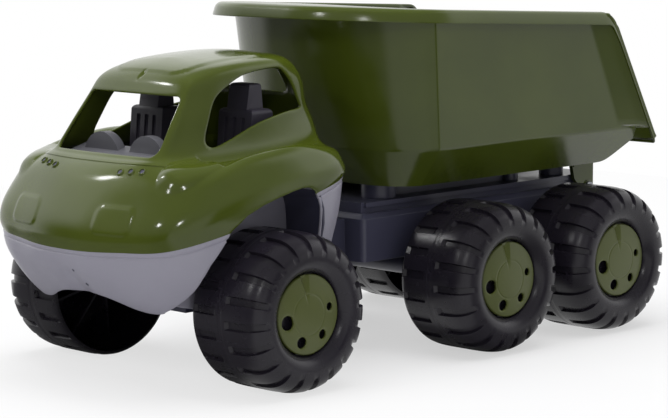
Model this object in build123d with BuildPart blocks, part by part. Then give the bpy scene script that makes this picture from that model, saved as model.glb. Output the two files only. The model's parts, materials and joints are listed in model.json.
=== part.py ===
from build123d import *
from math import cos, radians, sin
import os

# A six-wheel toy tipper truck in millimetres: +X is its left side, -Y its nose, +Z up.
# The origin is on the floor, under the middle of the whole truck.

# Overall lengths, each measured from the front axle
nose_overhang = 121.0
middle_axle_aft = 228.2
rear_axle_aft = 370.8
bed_tail_aft = 458.0
front_axle_y = (nose_overhang - bed_tail_aft) / 2

# Wheels: a hollow moulded tyre, open at the back, with a cap in its face
tyre_radius = 63.0
tyre_inner_face = 86.5
tyre_face = 153.3
shoulder_bulge = 4.5
tyre_wall = 3.0
cap_radius = 31.8
cap_well_depth = 7.0
cap_gap = 0.3
cap_skin = 2.2
cap_dome = 2.0
cap_hole_circle = 22.3
boss_radius = 9.0
wheel_rib_count = 8
wheel_rib_thickness = 2.0
axle_radius = 3.0
running_gap = 0.05
axle_nut_radius = 6.0
axle_nut_length = 2.5

# Chassis
deck_top = 127.0
deck_half_width = 60.0
deck_front_aft = 122.0
deck_rear_aft = 442.0
side_box_half_width = 68.0
side_box_top = 118.0
side_box_bottom = 78.0
side_box_rear_aft = 398.0
chassis_wall = 3.0
neck_half_width = 46.0
neck_front_aft = -34.0
neck_top = 113.0
neck_bottom = 56.0
post_top_gap = 0.3

# Cab
seam_nose_height = 112.5
seam_slope = 0.25
cab_wall = 2.6
cab_rear_aft = 62.0
wheel_clearance = 7.0
arch_wall_x = 81.0

# Bed
bed_floor_height = 139.8
bed_wall = 2.8
rim_height = 291.0
rim_slope = 0.05
rim_half_width = 125.0
rim_front_aft = 100.0
rim_corner_radius = 80.0
rim_skirt = 11.3
rim_overhang = 7.0
rim_skin = 2.4
hinge_aft = 427.5
hinge_height = 114.5
hinge_radius = 3.0
lug_inner_x = 63.0
lug_thickness = 4.0

axle_height = tyre_radius


def aft(distance):
    """The y of a point this far behind the front axle."""
    return front_axle_y + distance


def side_plane(x, aft_distance=0.0, height=0.0):
    """A plane whose sketch axes run aft and up, at this distance to the left."""
    return Plane(origin=(x, aft(aft_distance), height), x_dir=(0, 1, 0), z_dir=(1, 0, 0))


def finish(piece, name):
    piece.part.label = name
    export_step(piece.part, f"parts/{name}.step")


os.makedirs("parts", exist_ok=True)


# --- Wheels -------------------------------------------------------------------------------

well_floor = tyre_face - cap_well_depth
well_radius = cap_radius + cap_gap
axle_half_length = well_floor + cap_gap + axle_nut_length

# One turned profile, as distance from the truck's centre plane and radius
tyre_outline = [
    (tyre_inner_face, tyre_radius - 2.0),
    (tyre_inner_face + 5.0, tyre_radius),
    (tyre_face - 11.0, tyre_radius),
]


def tyre_profile():
    """Half section of a tyre, x along the axle and y the radius."""
    shoulder_x = tyre_face + shoulder_bulge
    inner_radius = tyre_radius - tyre_wall
    web_inner = well_floor - tyre_wall
    with BuildSketch(Plane.XY) as profile:
        with BuildLine():
            tread = Polyline(*tyre_outline)
            shoulder = Polyline(
                tread @ 1, (shoulder_x - 3.0, tyre_radius - 5.0), (shoulder_x, tyre_radius - 14.0)
            )
            lip = Polyline(
                shoulder @ 1, (shoulder_x - 0.6, well_radius + 7.0), (tyre_face, well_radius + 1.2)
            )
            Polyline(
                lip @ 1,
                (tyre_face - 1.5, well_radius),
                (well_floor, well_radius),
                (well_floor, axle_radius + running_gap),
                (tyre_inner_face + 1.5, axle_radius + running_gap),
                (tyre_inner_face + 1.5, boss_radius - 1.0),
                (web_inner, boss_radius),
                (web_inner, well_radius + tyre_wall),
                (shoulder_x - tyre_wall, well_radius + tyre_wall + 4.0),
                (shoulder_x - tyre_wall - 0.5, tyre_radius - 16.0),
                (tyre_face - 11.0, inner_radius),
                (tyre_inner_face, inner_radius),
                tread @ 0,
            )
        make_face()
    return profile.sketch


# name, side, distance behind the front axle
wheels = [
    (f"{side_name}_{row_name}", side, row_aft)
    for side_name, side in (("left", 1), ("right", -1))
    for row_name, row_aft in (("front", 0.0), ("middle", middle_axle_aft), ("rear", rear_axle_aft))
]

# A tyre on the left, in its own frame: the axle along X, the truck's centre plane at x = 0
with BuildPart() as tyre_form:
    with BuildSketch(Plane.XY):
        add(tyre_profile())
    revolve(axis=Axis.X)
    rib_length = tyre_face - tyre_inner_face - cap_well_depth - tyre_wall - 22.0
    rib_front = well_floor - tyre_wall
    with BuildSketch(Plane.XY) as rib_side:
        with BuildLine():
            Polyline(
                (rib_front + 1.0, boss_radius - 1.0),
                (rib_front - rib_length, boss_radius - 1.0),
                (rib_front - rib_length, boss_radius + 4.0),
                (rib_front - rib_length / 2, tyre_radius - tyre_wall + 1.0),
                (tyre_face - 12.0, tyre_radius - tyre_wall + 1.0),
                (rib_front, well_radius + tyre_wall - 1.0),
                close=True,
            )
        make_face()
    rib = extrude(rib_side.sketch, amount=wheel_rib_thickness / 2, both=True, mode=Mode.PRIVATE)
    for turn in range(wheel_rib_count):
        add(rib.rotate(Axis.X, turn * 360 / wheel_rib_count))

# The four holes of a cap: angle from aft, counter-clockwise seen from outside, and radius
cap_holes = [(190, 5.9), (250, 4.7), (310, 3.9), (10, 3.3)]

with BuildPart() as cap_form:
    with BuildSketch(Plane.XY):
        with BuildLine():
            dome_x, shoulder_x = tyre_face + cap_dome, tyre_face + cap_dome * 0.6
            Polyline(
                (tyre_face, cap_radius), (shoulder_x, cap_radius * 0.75), (dome_x, cap_radius * 0.3),
                (dome_x, 0), (dome_x - cap_skin, 0), (dome_x - cap_skin, cap_radius * 0.3),
                (tyre_face - cap_skin, cap_radius - cap_skin), (well_floor, cap_radius - cap_skin),
                (well_floor, cap_radius), close=True,
            )
        make_face()
    revolve(axis=Axis.X)
    # Seen from outside a left wheel, aft is to the right and up is up
    cap_plane = Plane(origin=(tyre_face - 4.0, 0, 0), x_dir=(0, 1, 0), z_dir=(1, 0, 0))
    for angle, hole_radius in cap_holes:
        with BuildSketch(cap_plane):
            with PolarLocations(cap_hole_circle, 1, start_angle=angle):
                Circle(hole_radius)
        extrude(amount=10, mode=Mode.SUBTRACT)
    # A shallow wedge runs from the edge of the disc towards its centre
    wedge_angle = radians(100)
    wedge_plane = Plane(origin=(tyre_face + 0.7, 0, 0), x_dir=(0, 1, 0), z_dir=(1, 0, 0))
    with BuildSketch(wedge_plane):
        with BuildLine():
            Polyline(
                (9 * cos(wedge_angle), 9 * sin(wedge_angle)),
                (29 * cos(wedge_angle - 0.09), 29 * sin(wedge_angle - 0.09)),
                (29 * cos(wedge_angle + 0.09), 29 * sin(wedge_angle + 0.09)),
                close=True,
            )
        make_face()
    extrude(amount=5, mode=Mode.SUBTRACT)

for wheel_name, side, row_aft in wheels:
    for form, piece_name in ((tyre_form, "tyre"), (cap_form, "hub_cap")):
        with BuildPart() as piece:
            shape = form.part if side > 0 else form.part.rotate(Axis.Z, 180)
            add(shape.moved(Location((0, aft(row_aft), axle_height))))
        finish(piece, f"{wheel_name}_{piece_name}")

for axle_name, row_aft in (("front_axle", 0.0), ("middle_axle", middle_axle_aft),
                           ("rear_axle", rear_axle_aft)):
    with BuildPart() as axle:
        with BuildSketch(Plane.XY):
            with BuildLine():
                nut_start = axle_half_length - axle_nut_length
                Polyline(
                    (-axle_half_length, 0), (-axle_half_length, axle_nut_radius),
                    (-nut_start, axle_nut_radius), (-nut_start, axle_radius),
                    (nut_start, axle_radius), (nut_start, axle_nut_radius),
                    (axle_half_length, axle_nut_radius), (axle_half_length, 0),
                    close=True,
                )
            make_face()
        revolve(axis=Axis.X)
    axle.part = axle.part.moved(Location((0, aft(row_aft), axle_height)))
    finish(axle, axle_name)


# --- Chassis ------------------------------------------------------------------------------


def block(x_half, front, rear, bottom, top, mode=Mode.ADD, x_centre=0.0):
    """A box given by its half width and its limits aft and up."""
    with Locations((x_centre, aft((front + rear) / 2), (bottom + top) / 2)):
        Box(2 * x_half, rear - front, top - bottom, mode=mode)


neck_inner = neck_half_width - chassis_wall
box_inner = side_box_half_width - chassis_wall
deck_inner = deck_half_width - chassis_wall
axle_boss_radius = 8.0
tube_seat_gap = 0.02
tube_hang = 3.0
axle_boss_end = tyre_inner_face + 1.0
post_top = bed_floor_height - post_top_gap

# Posts that the resting bed stands on: distance aft, radius, distance from the centre plane
posts = [(185.0, 15.0, 42.0), (347.0, 7.0, 45.0), (402.0, 11.0, 45.0)]

with BuildPart() as chassis:
    block(side_box_half_width, deck_front_aft, side_box_rear_aft, side_box_bottom, side_box_top)
    fillet(chassis.edges().filter_by(Axis.Z), radius=5)
    chamfer(chassis.faces().sort_by(Axis.Z)[-1].edges(), length=4)
    block(deck_half_width, deck_front_aft + 6, deck_rear_aft, side_box_top - 16, deck_top)
    block(neck_half_width, neck_front_aft, deck_front_aft + 6, neck_bottom, neck_top)
    # Flange along the top of the deck
    block(deck_half_width + 3, deck_front_aft + 28, side_box_rear_aft + 8, deck_top - 4, deck_top)
    # Open from below
    block(box_inner, deck_front_aft + chassis_wall, side_box_rear_aft - chassis_wall,
          side_box_bottom - 1, side_box_top - chassis_wall - 4, mode=Mode.SUBTRACT)
    block(deck_inner, deck_front_aft + 6 + chassis_wall, deck_rear_aft - chassis_wall,
          side_box_bottom - 1, deck_top - chassis_wall, mode=Mode.SUBTRACT)
    block(neck_inner, neck_front_aft + chassis_wall, deck_front_aft + 4,
          neck_bottom - 1, neck_top - chassis_wall, mode=Mode.SUBTRACT)
    # Cross walls that carry the axle tubes of the six wheels
    for row_aft, half_width in ((0.0, neck_half_width), (middle_axle_aft, box_inner),
                                (rear_axle_aft, box_inner)):
        block(half_width - 0.5, row_aft - 1.5, row_aft + 1.5, axle_height - tube_hang, side_box_top - 8)
        for side in (-1, 1):
            for along in (row_aft - 7.0, row_aft + 7.0):
                block(1.5, along - 7.0, along + 7.0, axle_height - tube_hang,
                      neck_top - 2 if row_aft == 0.0 else side_box_top - 6,
                      x_centre=side * (half_width - 1.5))
    # Boss of the hinge pin
    with Locations(Location((0, aft(hinge_aft), hinge_height), (0, 90, 0))):
        Cylinder(hinge_radius + 4.0, 2 * (lug_inner_x - cap_gap))
    # Seats of the axle tubes and the bore of the hinge pin
    for row_aft in (0.0, middle_axle_aft, rear_axle_aft):
        with Locations(Location((0, aft(row_aft), axle_height), (0, 90, 0))):
            Cylinder(axle_boss_radius + tube_seat_gap, 4 * tyre_face, mode=Mode.SUBTRACT)
    with Locations(Location((0, aft(hinge_aft), hinge_height), (0, 90, 0))):
        Cylinder(hinge_radius + running_gap, 4 * tyre_face, mode=Mode.SUBTRACT)
finish(chassis, "chassis_frame")

with BuildPart() as axle_tubes:
    for row_aft in (0.0, middle_axle_aft, rear_axle_aft):
        with Locations(Location((0, aft(row_aft), axle_height), (0, 90, 0))):
            Cylinder(axle_boss_radius, 2 * axle_boss_end)
            Cylinder(axle_radius + running_gap, 4 * tyre_face, mode=Mode.SUBTRACT)
finish(axle_tubes, "axle_tubes")

with BuildPart() as bed_posts:
    for post_aft, post_radius, post_x in posts:
        with Locations(*[(side * post_x, aft(post_aft), deck_top) for side in (-1, 1)]):
            Cylinder(post_radius, post_top - deck_top, align=(Align.CENTER, Align.CENTER, Align.MIN))
finish(bed_posts, "bed_posts")

with BuildPart() as hinge_pin:
    pin_end = lug_inner_x + lug_thickness + cap_gap
    with Locations(Location((0, aft(hinge_aft), hinge_height), (0, 90, 0))):
        Cylinder(hinge_radius, 2 * pin_end)
        for side in (-1, 1):
            with Locations((0, 0, side * (pin_end + 1.0))):
                Cylinder(hinge_radius + 2.0, 2.0)
finish(hinge_pin, "bed_hinge_pin")


# --- Tipper bed ---------------------------------------------------------------------------

# Height, half width, front edge aft and corner radius of the bed's outside
bed_levels = [
    (bed_floor_height, 89.0, 164.0, 24.0),
    (171.5, 112.0, 146.0, 45.0),
    (rim_height + 6.0, rim_half_width - rim_overhang + 0.3, rim_front_aft + rim_overhang - 2.0,
     rim_corner_radius - rim_overhang),
]
tail_bend_aft = 423.0
open_top_aft = 396.0
open_foot_aft = 458.0
open_foot_height = 158.0
bed_far_aft = 500.0


def bed_form(growth):
    """The bed as a solid block, its surface moved outward by growth."""
    sections = []
    for height, half_width, front, corner in bed_levels:
        level = height - growth if height == bed_floor_height else height
        with BuildSketch(Plane.XY.offset(level)) as section:
            with BuildLine():
                wide, nose = half_width + growth, aft(front - growth)
                Polyline((-wide, aft(bed_far_aft)), (-wide, nose), (wide, nose),
                         (wide, aft(bed_far_aft)), close=True)
            make_face()
            fillet(section.vertices().group_by(Axis.Y)[0], radius=corner + growth)
        sections.append(section.sketch)
    with BuildPart() as form:
        loft(sections=sections, ruled=True)
        # The floor bends up towards the tail at 45 degrees
        with BuildSketch(side_plane(-200.0)):
            with BuildLine():
                start = tail_bend_aft + growth * 0.41
                low = bed_floor_height - growth
                Polyline((start, low), (start + 100, low + 100), (start + 100, low - 20),
                         (start - 20, low - 20), (start - 20, low), close=True)
            make_face()
        extrude(amount=400, mode=Mode.SUBTRACT)
    return form.part


def rim_band(top_offset, bottom_offset):
    """A tilted layer between two distances below the rim's top surface."""
    def rim_z(distance):
        return rim_height - rim_slope * (distance - rim_front_aft)
    with BuildPart() as band:
        with BuildSketch(side_plane(-200.0)):
            with BuildLine():
                Polyline((0, rim_z(0) - top_offset), (bed_far_aft, rim_z(bed_far_aft) - top_offset),
                         (bed_far_aft, rim_z(bed_far_aft) - bottom_offset),
                         (0, rim_z(0) - bottom_offset), close=True)
            make_face()
        extrude(amount=400)
    return band.part


def open_end(setback, depth):
    """A slanted layer along the open end: from setback forward of it, this deep."""
    run, rise = open_foot_aft - open_top_aft, rim_height - 15.0 - open_foot_height
    slope = run / rise
    low, high = 60.0, 330.0
    def end_aft(height):
        return open_foot_aft - (height - open_foot_height) * slope - setback
    with BuildPart() as layer:
        with BuildSketch(side_plane(-200.0)):
            with BuildLine():
                Polyline((end_aft(low), low), (end_aft(high), high), (end_aft(high) + depth, high),
                         (end_aft(low) + depth, low), close=True)
            make_face()
        extrude(amount=400)
    return layer.part


bed_outside, bed_inside = bed_form(0.0), bed_form(-bed_wall)
above_rim, behind_end = rim_band(-60.0, 0.0), open_end(0.0, 150.0)
# Rim: a flat turned-out flange with a skirt below its outer edge
rim = (bed_form(rim_overhang) & rim_band(0.0, rim_skirt)) \
    - (bed_form(rim_overhang - rim_skin) & rim_band(rim_skin, rim_skirt + 5.0))
# Flange round the open end
end_block = Box(2 * rim_half_width, 300, rim_height - open_foot_height)
end_block = end_block.moved(Location((0, aft(400.0), (open_foot_height + rim_height) / 2)))
end_flange = (end_block & open_end(rim_skin, rim_skin)) - bed_inside - above_rim
lug_top = bed_floor_height + 1.0

with BuildPart() as bed:
    add(bed_outside)
    add(rim)
    add(bed_inside, mode=Mode.SUBTRACT)
    add(above_rim, mode=Mode.SUBTRACT)
    add(behind_end, mode=Mode.SUBTRACT)
    add(end_flange)
    # Hinge lugs under the tail
    for side in (-1, 1):
        with BuildSketch(side_plane(side * (lug_inner_x + lug_thickness / 2))):
            with BuildLine():
                Polyline((405, lug_top), (435, lug_top), (434.5, hinge_height), (420.5, hinge_height),
                         (409, 124), close=True)
            make_face()
            with Locations((hinge_aft, hinge_height)):
                Circle(7.0)
        extrude(amount=lug_thickness / 2, both=True)
    with Locations(Location((0, aft(hinge_aft), hinge_height), (0, 90, 0))):
        Cylinder(hinge_radius + running_gap, 300, mode=Mode.SUBTRACT)
finish(bed, "tipper_bed")


# --- Cab ----------------------------------------------------------------------------------

# Plan outlines of the lower cab: height, nose, bow of the nose, half width, rear,
# and the radii of the front and rear corners
cab_levels = [
    (56.0, -80.0, 8.0, 84.0, 58.0, 26.0, 10.0),
    (72.0, -91.0, 12.0, 102.0, 60.0, 36.0, 12.0),
    (92.0, -106.0, 20.0, 119.0, 62.0, 44.0, 14.0),
    (114.0, -120.0, 26.0, 126.0, 62.0, 46.0, 14.0),
    (132.0, -118.5, 26.0, 128.0, 62.0, 44.0, 14.0),
    (160.0, -101.0, 25.0, 124.0, 62.0, 40.0, 14.0),
    (176.0, -89.0, 22.0, 117.0, 62.0, 36.0, 14.0),
    (190.0, -62.0, 14.0, 98.0, 60.0, 32.0, 14.0),
]
# The same for the part with the windows
roof_levels = [
    (168.0, -80.0, 6.0, 76.0, 80.0, 20.0, 14.0),
    (183.0, -75.0, 5.0, 70.5, 82.0, 18.0, 14.0),
    (226.0, -44.0, 4.0, 64.5, 80.0, 16.0, 14.0),
    (246.0, -35.0, 4.0, 60.0, 78.0, 14.0, 14.0),
    (253.5, -29.0, 4.0, 53.0, 75.0, 13.0, 13.0),
    (257.0, -18.0, 4.0, 40.0, 66.0, 12.0, 12.0),
]
upper_rear_bow = 4.0
lower_rear_bow = 27.0


def plan_outline(level, inset, bow_out):
    """One plan outline; its rear edge bows outward by bow_out."""
    height, nose, bow, half_width, rear, front_corner, rear_corner = level
    with BuildSketch(Plane.XY.offset(height)) as outline:
        with BuildLine():
            wide = half_width - inset
            front_y, rear_y = aft(nose + inset), aft(rear - inset)
            prow = ThreePointArc((-wide, front_y + bow), (0, front_y), (wide, front_y + bow))
            Line(prow @ 1, (wide, rear_y))
            if bow_out > 0:
                ThreePointArc((wide, rear_y), (0, rear_y + bow_out), (-wide, rear_y))
            else:
                Line((wide, rear_y), (-wide, rear_y))
            Line((-wide, rear_y), prow @ 0)
        make_face()
        fillet(outline.vertices().group_by(Axis.Y)[0], radius=front_corner - inset)
        fillet(outline.vertices().group_by(Axis.Y)[-1], radius=rear_corner - inset)
    return outline.sketch


def cab_block(levels, inset, rear_bow):
    """The solid through these levels, its sides and top moved in by inset."""
    outlines = []
    for index, (height, *rest) in enumerate(levels):
        lowered = height - inset * index / (len(levels) - 1)
        outlines.append(plan_outline((lowered, *rest), inset, rear_bow))
    with BuildPart() as form:
        loft(sections=outlines, ruled=True)
    return form.part


def lower_cab(inset):
    return cab_block(cab_levels, inset, lower_rear_bow)


def upper_cab(inset):
    return cab_block(roof_levels, inset, upper_rear_bow)


def seam_half(above):
    """Everything above, or below, the slanted seam between the two cab mouldings."""
    def seam_z(distance):
        return seam_nose_height + seam_slope * (distance + nose_overhang)
    far = 400.0 if above else -100.0
    with BuildPart() as half:
        with BuildSketch(side_plane(-200.0)):
            with BuildLine():
                Polyline((-200, seam_z(-200)), (200, seam_z(200)), (200, far), (-200, far), close=True)
            make_face()
        extrude(amount=400)
    return half.part


well_radius_outer = tyre_radius + wheel_clearance


def wheel_well(side, inner_x, growth):
    """The space round a front wheel, from inner_x outward, its walls moved out by growth."""
    with BuildPart() as well:
        with BuildSketch(side_plane(side * inner_x)):
            with BuildLine():
                front = Line((-82, 30), (-53, 131))
                arch = ThreePointArc(front @ 1, (-14, 150.5), (25, 157.0))
                crown = ThreePointArc(arch @ 1, (36, 152), (41, 141))
                Polyline(crown @ 1, (43, 118), (43, 30), (-82, 30))
            make_face()
            if growth > 0:
                offset(amount=growth, kind=Kind.INTERSECTION)
            with Locations((0, axle_height)):
                Circle(well_radius_outer + growth)
        extrude(amount=side * 120.0)
    return well.part


lower_outer, lower_inner = lower_cab(0.0), lower_cab(cab_wall)
upper_outer, upper_inner = upper_cab(0.0), upper_cab(cab_wall)
above_seam, below_seam = seam_half(True), seam_half(False)
wells = [wheel_well(side, arch_wall_x, 0.0) for side in (-1, 1)]
liners = [wheel_well(side, arch_wall_x - cab_wall, cab_wall) for side in (-1, 1)]

window_corner = 7.0
vent_radius = 3.0
# Distance from the centre plane and height of the bonnet's air vents
vents = [(41.3, 174.5), (52.0, 174.8), (62.3, 174.2)]

with BuildPart() as cab:
    add(lower_outer)
    add(upper_outer)
    add(lower_inner, mode=Mode.SUBTRACT)
    add(upper_inner, mode=Mode.SUBTRACT)
    add(above_seam, mode=Mode.INTERSECT)
    for well in wells:
        add(well, mode=Mode.SUBTRACT)
    # Windscreen
    with BuildSketch(Plane.XZ.offset(-aft(-30.0))):
        with BuildLine():
            Polyline((-62, 184), (62, 184), (57, 226.5), (-57, 226.5), close=True)
        make_face()
        fillet(vertices(), radius=window_corner)
    extrude(amount=80, mode=Mode.SUBTRACT)
    # Side windows
    with BuildSketch(side_plane(-150.0)):
        with BuildLine():
            front_edge = ThreePointArc((-29, 189), (-18, 222), (18, 243))
            top_edge = ThreePointArc(front_edge @ 1, (40, 246), (62, 245))
            Line(top_edge @ 1, (74, 213))
            ThreePointArc((74, 213), (24, 203.5), front_edge @ 0)
        make_face()
        fillet(vertices().sort_by(Axis.X)[-2:], radius=4.0)
    extrude(amount=300, mode=Mode.SUBTRACT)
    # Rear window
    with BuildSketch(Plane.XZ.offset(-aft(50.0))):
        with Locations((0, 232)):
            Trapezoid(74, 21, 72)
        fillet(vertices(), radius=4.0)
    extrude(amount=-80, mode=Mode.SUBTRACT)
    # Air vents in the bonnet
    with BuildSketch(Plane.XZ.offset(-aft(-70.0))):
        with Locations(*[(side * x, z) for x, z in vents for side in (-1, 1)]):
            Circle(vent_radius)
    extrude(amount=60, mode=Mode.SUBTRACT)
finish(cab, "cab_body")

hull_liner_gap = 0.4
hull_room = upper_cab(cab_wall + hull_liner_gap) + lower_cab(cab_wall + hull_liner_gap)
hull_block = lower_outer & below_seam
# The arches have inner walls, which reach up inside the green moulding
arch_walls = [liner & space for liner in liners for space in (hull_block, hull_room)]

with BuildPart() as hull:
    add(hull_block)
    add(lower_inner, mode=Mode.SUBTRACT)
    for arch_wall in arch_walls:
        add(arch_wall)
    for well in wells:
        add(well, mode=Mode.SUBTRACT)
    # The bottom edge of the nose arches up between two lobes
    with BuildSketch(Plane.XZ.offset(-aft(-60.0))):
        with BuildLine():
            lobe = ThreePointArc((-62, 62), (0, 76), (62, 62))
            Polyline(lobe @ 1, (62, 40), (-62, 40), lobe @ 0)
        make_face()
    extrude(amount=90, mode=Mode.SUBTRACT)
    # Openings for the axle tube and for the chassis neck
    with Locations(Location((0, aft(0.0), axle_height), (0, 90, 0))):
        Cylinder(axle_boss_radius + 1.0, 2 * arch_wall_x + 2.0, mode=Mode.SUBTRACT)
    block(neck_half_width + cap_gap, 40.0, 110.0, neck_bottom - 10.0, neck_top + cap_gap,
          mode=Mode.SUBTRACT)
finish(hull, "cab_hull")

floor_thickness = 2.5
floor_top = neck_top + floor_thickness
floor_half_width = arch_wall_x - cab_wall - cap_gap
with BuildPart() as cab_floor:
    block(floor_half_width, -70.0, cab_rear_aft - cab_wall - cap_gap, neck_top, floor_top)
finish(cab_floor, "interior_floor")

dash_half_width = 60.0
# Instrument cowls: distance from the centre plane
cowls = (-28.0, 28.0)
with BuildPart() as dash:
    with BuildSketch(side_plane(-dash_half_width)):
        with BuildLine():
            Polyline((-66, 180), (-46, 186), (-50, 160), (-54, floor_top), (-62, floor_top),
                     (-66, 150), close=True)
        make_face()
    extrude(amount=2 * dash_half_width)
    for cowl_x in cowls:
        with BuildSketch(Plane.XZ.offset(-aft(-56.0))):
            with Locations((cowl_x, 174.0)):
                Circle(23.0)
        extrude(amount=-8.0)
finish(dash, "dashboard")

seat_x = 38.0
seat_width = 40.0
seat_back_depth = 24.0
headrest_width = 24.0
groove_width = 4.5
# Name, side and distance aft of the front of its back: the seats are staggered
seats = [("driver_seat", 1, 27.0), ("passenger_seat", -1, -2.0)]
for seat_name, side, back_aft in seats:
    with BuildPart() as seat:
        cushion_front = back_aft - 44.0
        with BuildSketch(side_plane(side * seat_x)):
            with BuildLine():
                Polyline((cushion_front, floor_top), (back_aft + seat_back_depth, floor_top),
                         (back_aft + seat_back_depth, 213), (back_aft + 2, 213),
                         (back_aft - 3, 160), (cushion_front, 152), close=True)
            make_face()
        extrude(amount=seat_width / 2, both=True)
        fillet(seat.edges().group_by(Axis.Z)[-1], radius=4)
        with BuildSketch(side_plane(side * seat_x)):
            with BuildLine():
                Polyline((back_aft + 3, 211), (back_aft + 21, 211), (back_aft + 19, 233),
                         (back_aft + 7, 233), close=True)
            make_face()
        extrude(amount=headrest_width / 2, both=True)
        fillet(seat.edges().group_by(Axis.Z)[-1], radius=2.5)
        # Three upright grooves in the front of the back
        for groove in (-1, 0, 1):
            with BuildSketch(side_plane(side * seat_x + groove * 10.0)):
                with BuildLine():
                    Polyline((back_aft - 1, 166), (back_aft + 3.5, 206), (back_aft - 8, 206),
                             (back_aft - 8, 166), close=True)
                make_face()
            extrude(amount=groove_width / 2, both=True, mode=Mode.SUBTRACT)
    finish(seat, seat_name)
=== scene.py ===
import json

import bmesh
import bpy
import numpy as np
from mathutils import Matrix, Vector
from mathutils.geometry import tessellate_polygon

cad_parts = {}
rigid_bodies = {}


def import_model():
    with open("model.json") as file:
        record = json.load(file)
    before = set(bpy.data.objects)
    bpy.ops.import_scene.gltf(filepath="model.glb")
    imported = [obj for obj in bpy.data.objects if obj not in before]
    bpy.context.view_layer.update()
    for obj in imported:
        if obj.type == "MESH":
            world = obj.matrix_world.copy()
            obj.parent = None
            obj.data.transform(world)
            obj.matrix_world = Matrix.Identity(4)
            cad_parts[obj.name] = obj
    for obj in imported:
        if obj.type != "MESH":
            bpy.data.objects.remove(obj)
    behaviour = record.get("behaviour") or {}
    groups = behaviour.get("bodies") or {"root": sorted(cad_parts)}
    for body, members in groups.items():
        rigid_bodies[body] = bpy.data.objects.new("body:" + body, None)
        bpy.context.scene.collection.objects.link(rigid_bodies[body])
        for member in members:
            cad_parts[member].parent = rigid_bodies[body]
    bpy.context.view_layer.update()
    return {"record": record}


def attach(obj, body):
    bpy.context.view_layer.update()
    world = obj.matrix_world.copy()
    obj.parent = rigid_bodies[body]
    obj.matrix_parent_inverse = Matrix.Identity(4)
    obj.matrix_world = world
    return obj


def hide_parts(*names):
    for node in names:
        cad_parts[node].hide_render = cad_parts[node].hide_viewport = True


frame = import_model()

# Sizes below are millimetres: x to the truck's left, aft behind the front axle, z up.
# truckPoint() turns them into the frame's metres. A shape is its points, quads and triangles.
frontAxleY = -0.1685
wheelRows = {"front": 0.0, "middle": 228.2, "rear": 370.8}
axleHeight = 63.0
sides = {"left": 1, "right": -1}
farOff = 60.0  # stands for no edge nearby
noTriangles = np.zeros((0, 3), dtype=int)


def stage(text):
    print("toy tipper:", text, flush=True)


def truckPoint(points):
    placed = np.asarray(points, dtype=float) * 0.001
    placed[..., 1] += frontAxleY
    return placed


# Cubic spline through evenly numbered knots, as one matrix: rows are the places asked for,
# columns the knots. The second differences solve the usual three-term equations.
def splineMatrix(knots, places, closed=False):
    places = np.asarray(places, dtype=float)
    eye = np.eye(knots)
    if closed:
        ahead, behind = np.roll(eye, -1, axis=0), np.roll(eye, 1, axis=0)
        bend = np.linalg.solve(4.0 * eye + ahead + behind, 6.0 * (ahead - 2.0 * eye + behind))
        low = np.floor(places).astype(int)
        part = (places - low)[:, None]
        first, second = low % knots, (low + 1) % knots
    else:
        inner = np.zeros((knots, knots))
        rows = np.arange(1, knots - 1)
        inner[rows, rows - 1], inner[rows, rows], inner[rows, rows + 1] = 1.0, -2.0, 1.0
        left = 4.0 * eye + np.eye(knots, k=1) + np.eye(knots, k=-1)
        left[0], left[-1] = eye[0], eye[-1]
        bend = np.linalg.solve(left, 6.0 * inner)
        first = np.clip(np.floor(places).astype(int), 0, knots - 2)
        second = first + 1
        part = (places - first)[:, None]
    rest = 1.0 - part
    return (rest * eye[first] + part * eye[second]
            + (rest ** 3 - rest) / 6.0 * bend[first] + (part ** 3 - part) / 6.0 * bend[second])


# From 0 to 1 as the value goes from low to high, as three squares less two cubes of its share
def smoothStep(low, high, value):
    t = np.clip((value - low) / (high - low), 0.0, 1.0)
    return t * t * (3.0 - 2.0 * t)


# Places along a line: its start, then the end of each stretch and how many cells it has
def spread(start, *stretches):
    places = [[start]]
    for end, cells in stretches:
        places.append(np.linspace(places[-1][-1], end, cells + 1)[1:])
    return np.concatenate(places)


# Signed distance from a closed outline in a plane, below zero inside it: the least distance to
# its sides, with the sign from how many sides a line to the right crosses
def outlineDistance(across, up, outline):
    corner = np.asarray(outline, dtype=float)
    after = np.roll(corner, -1, axis=0)
    point = np.stack([across.ravel(), up.ravel()], axis=1)
    best = np.full(len(point), 1e9)
    inside = np.zeros(len(point), dtype=bool)
    for (ax, ay), (bx, by) in zip(corner, after):
        run = np.array([bx - ax, by - ay])
        offset = point - (ax, ay)
        t = np.clip(offset @ run / (run @ run), 0.0, 1.0)
        best = np.minimum(best, np.hypot(*(offset - t[:, None] * run).T))
        crossing = (ay > point[:, 1]) != (by > point[:, 1])
        with np.errstate(divide="ignore", invalid="ignore"):
            at = ax + (point[:, 1] - ay) * (bx - ax) / (by - ay)
        inside ^= crossing & (point[:, 0] < at)
    return np.where(inside, -best, best).reshape(across.shape)


# The quads of a grid of points, numbered along v and then along u
def gridQuads(columns, rows, closedU=False, closedV=False):
    index = np.arange(columns * rows).reshape(columns, rows)
    nextU = np.roll(index, -1, axis=0)
    quads = np.stack([index, nextU, np.roll(nextU, -1, axis=1), np.roll(index, -1, axis=1)], axis=-1)
    return quads[:None if closedU else -1, :None if closedV else -1].reshape(-1, 4)


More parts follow.
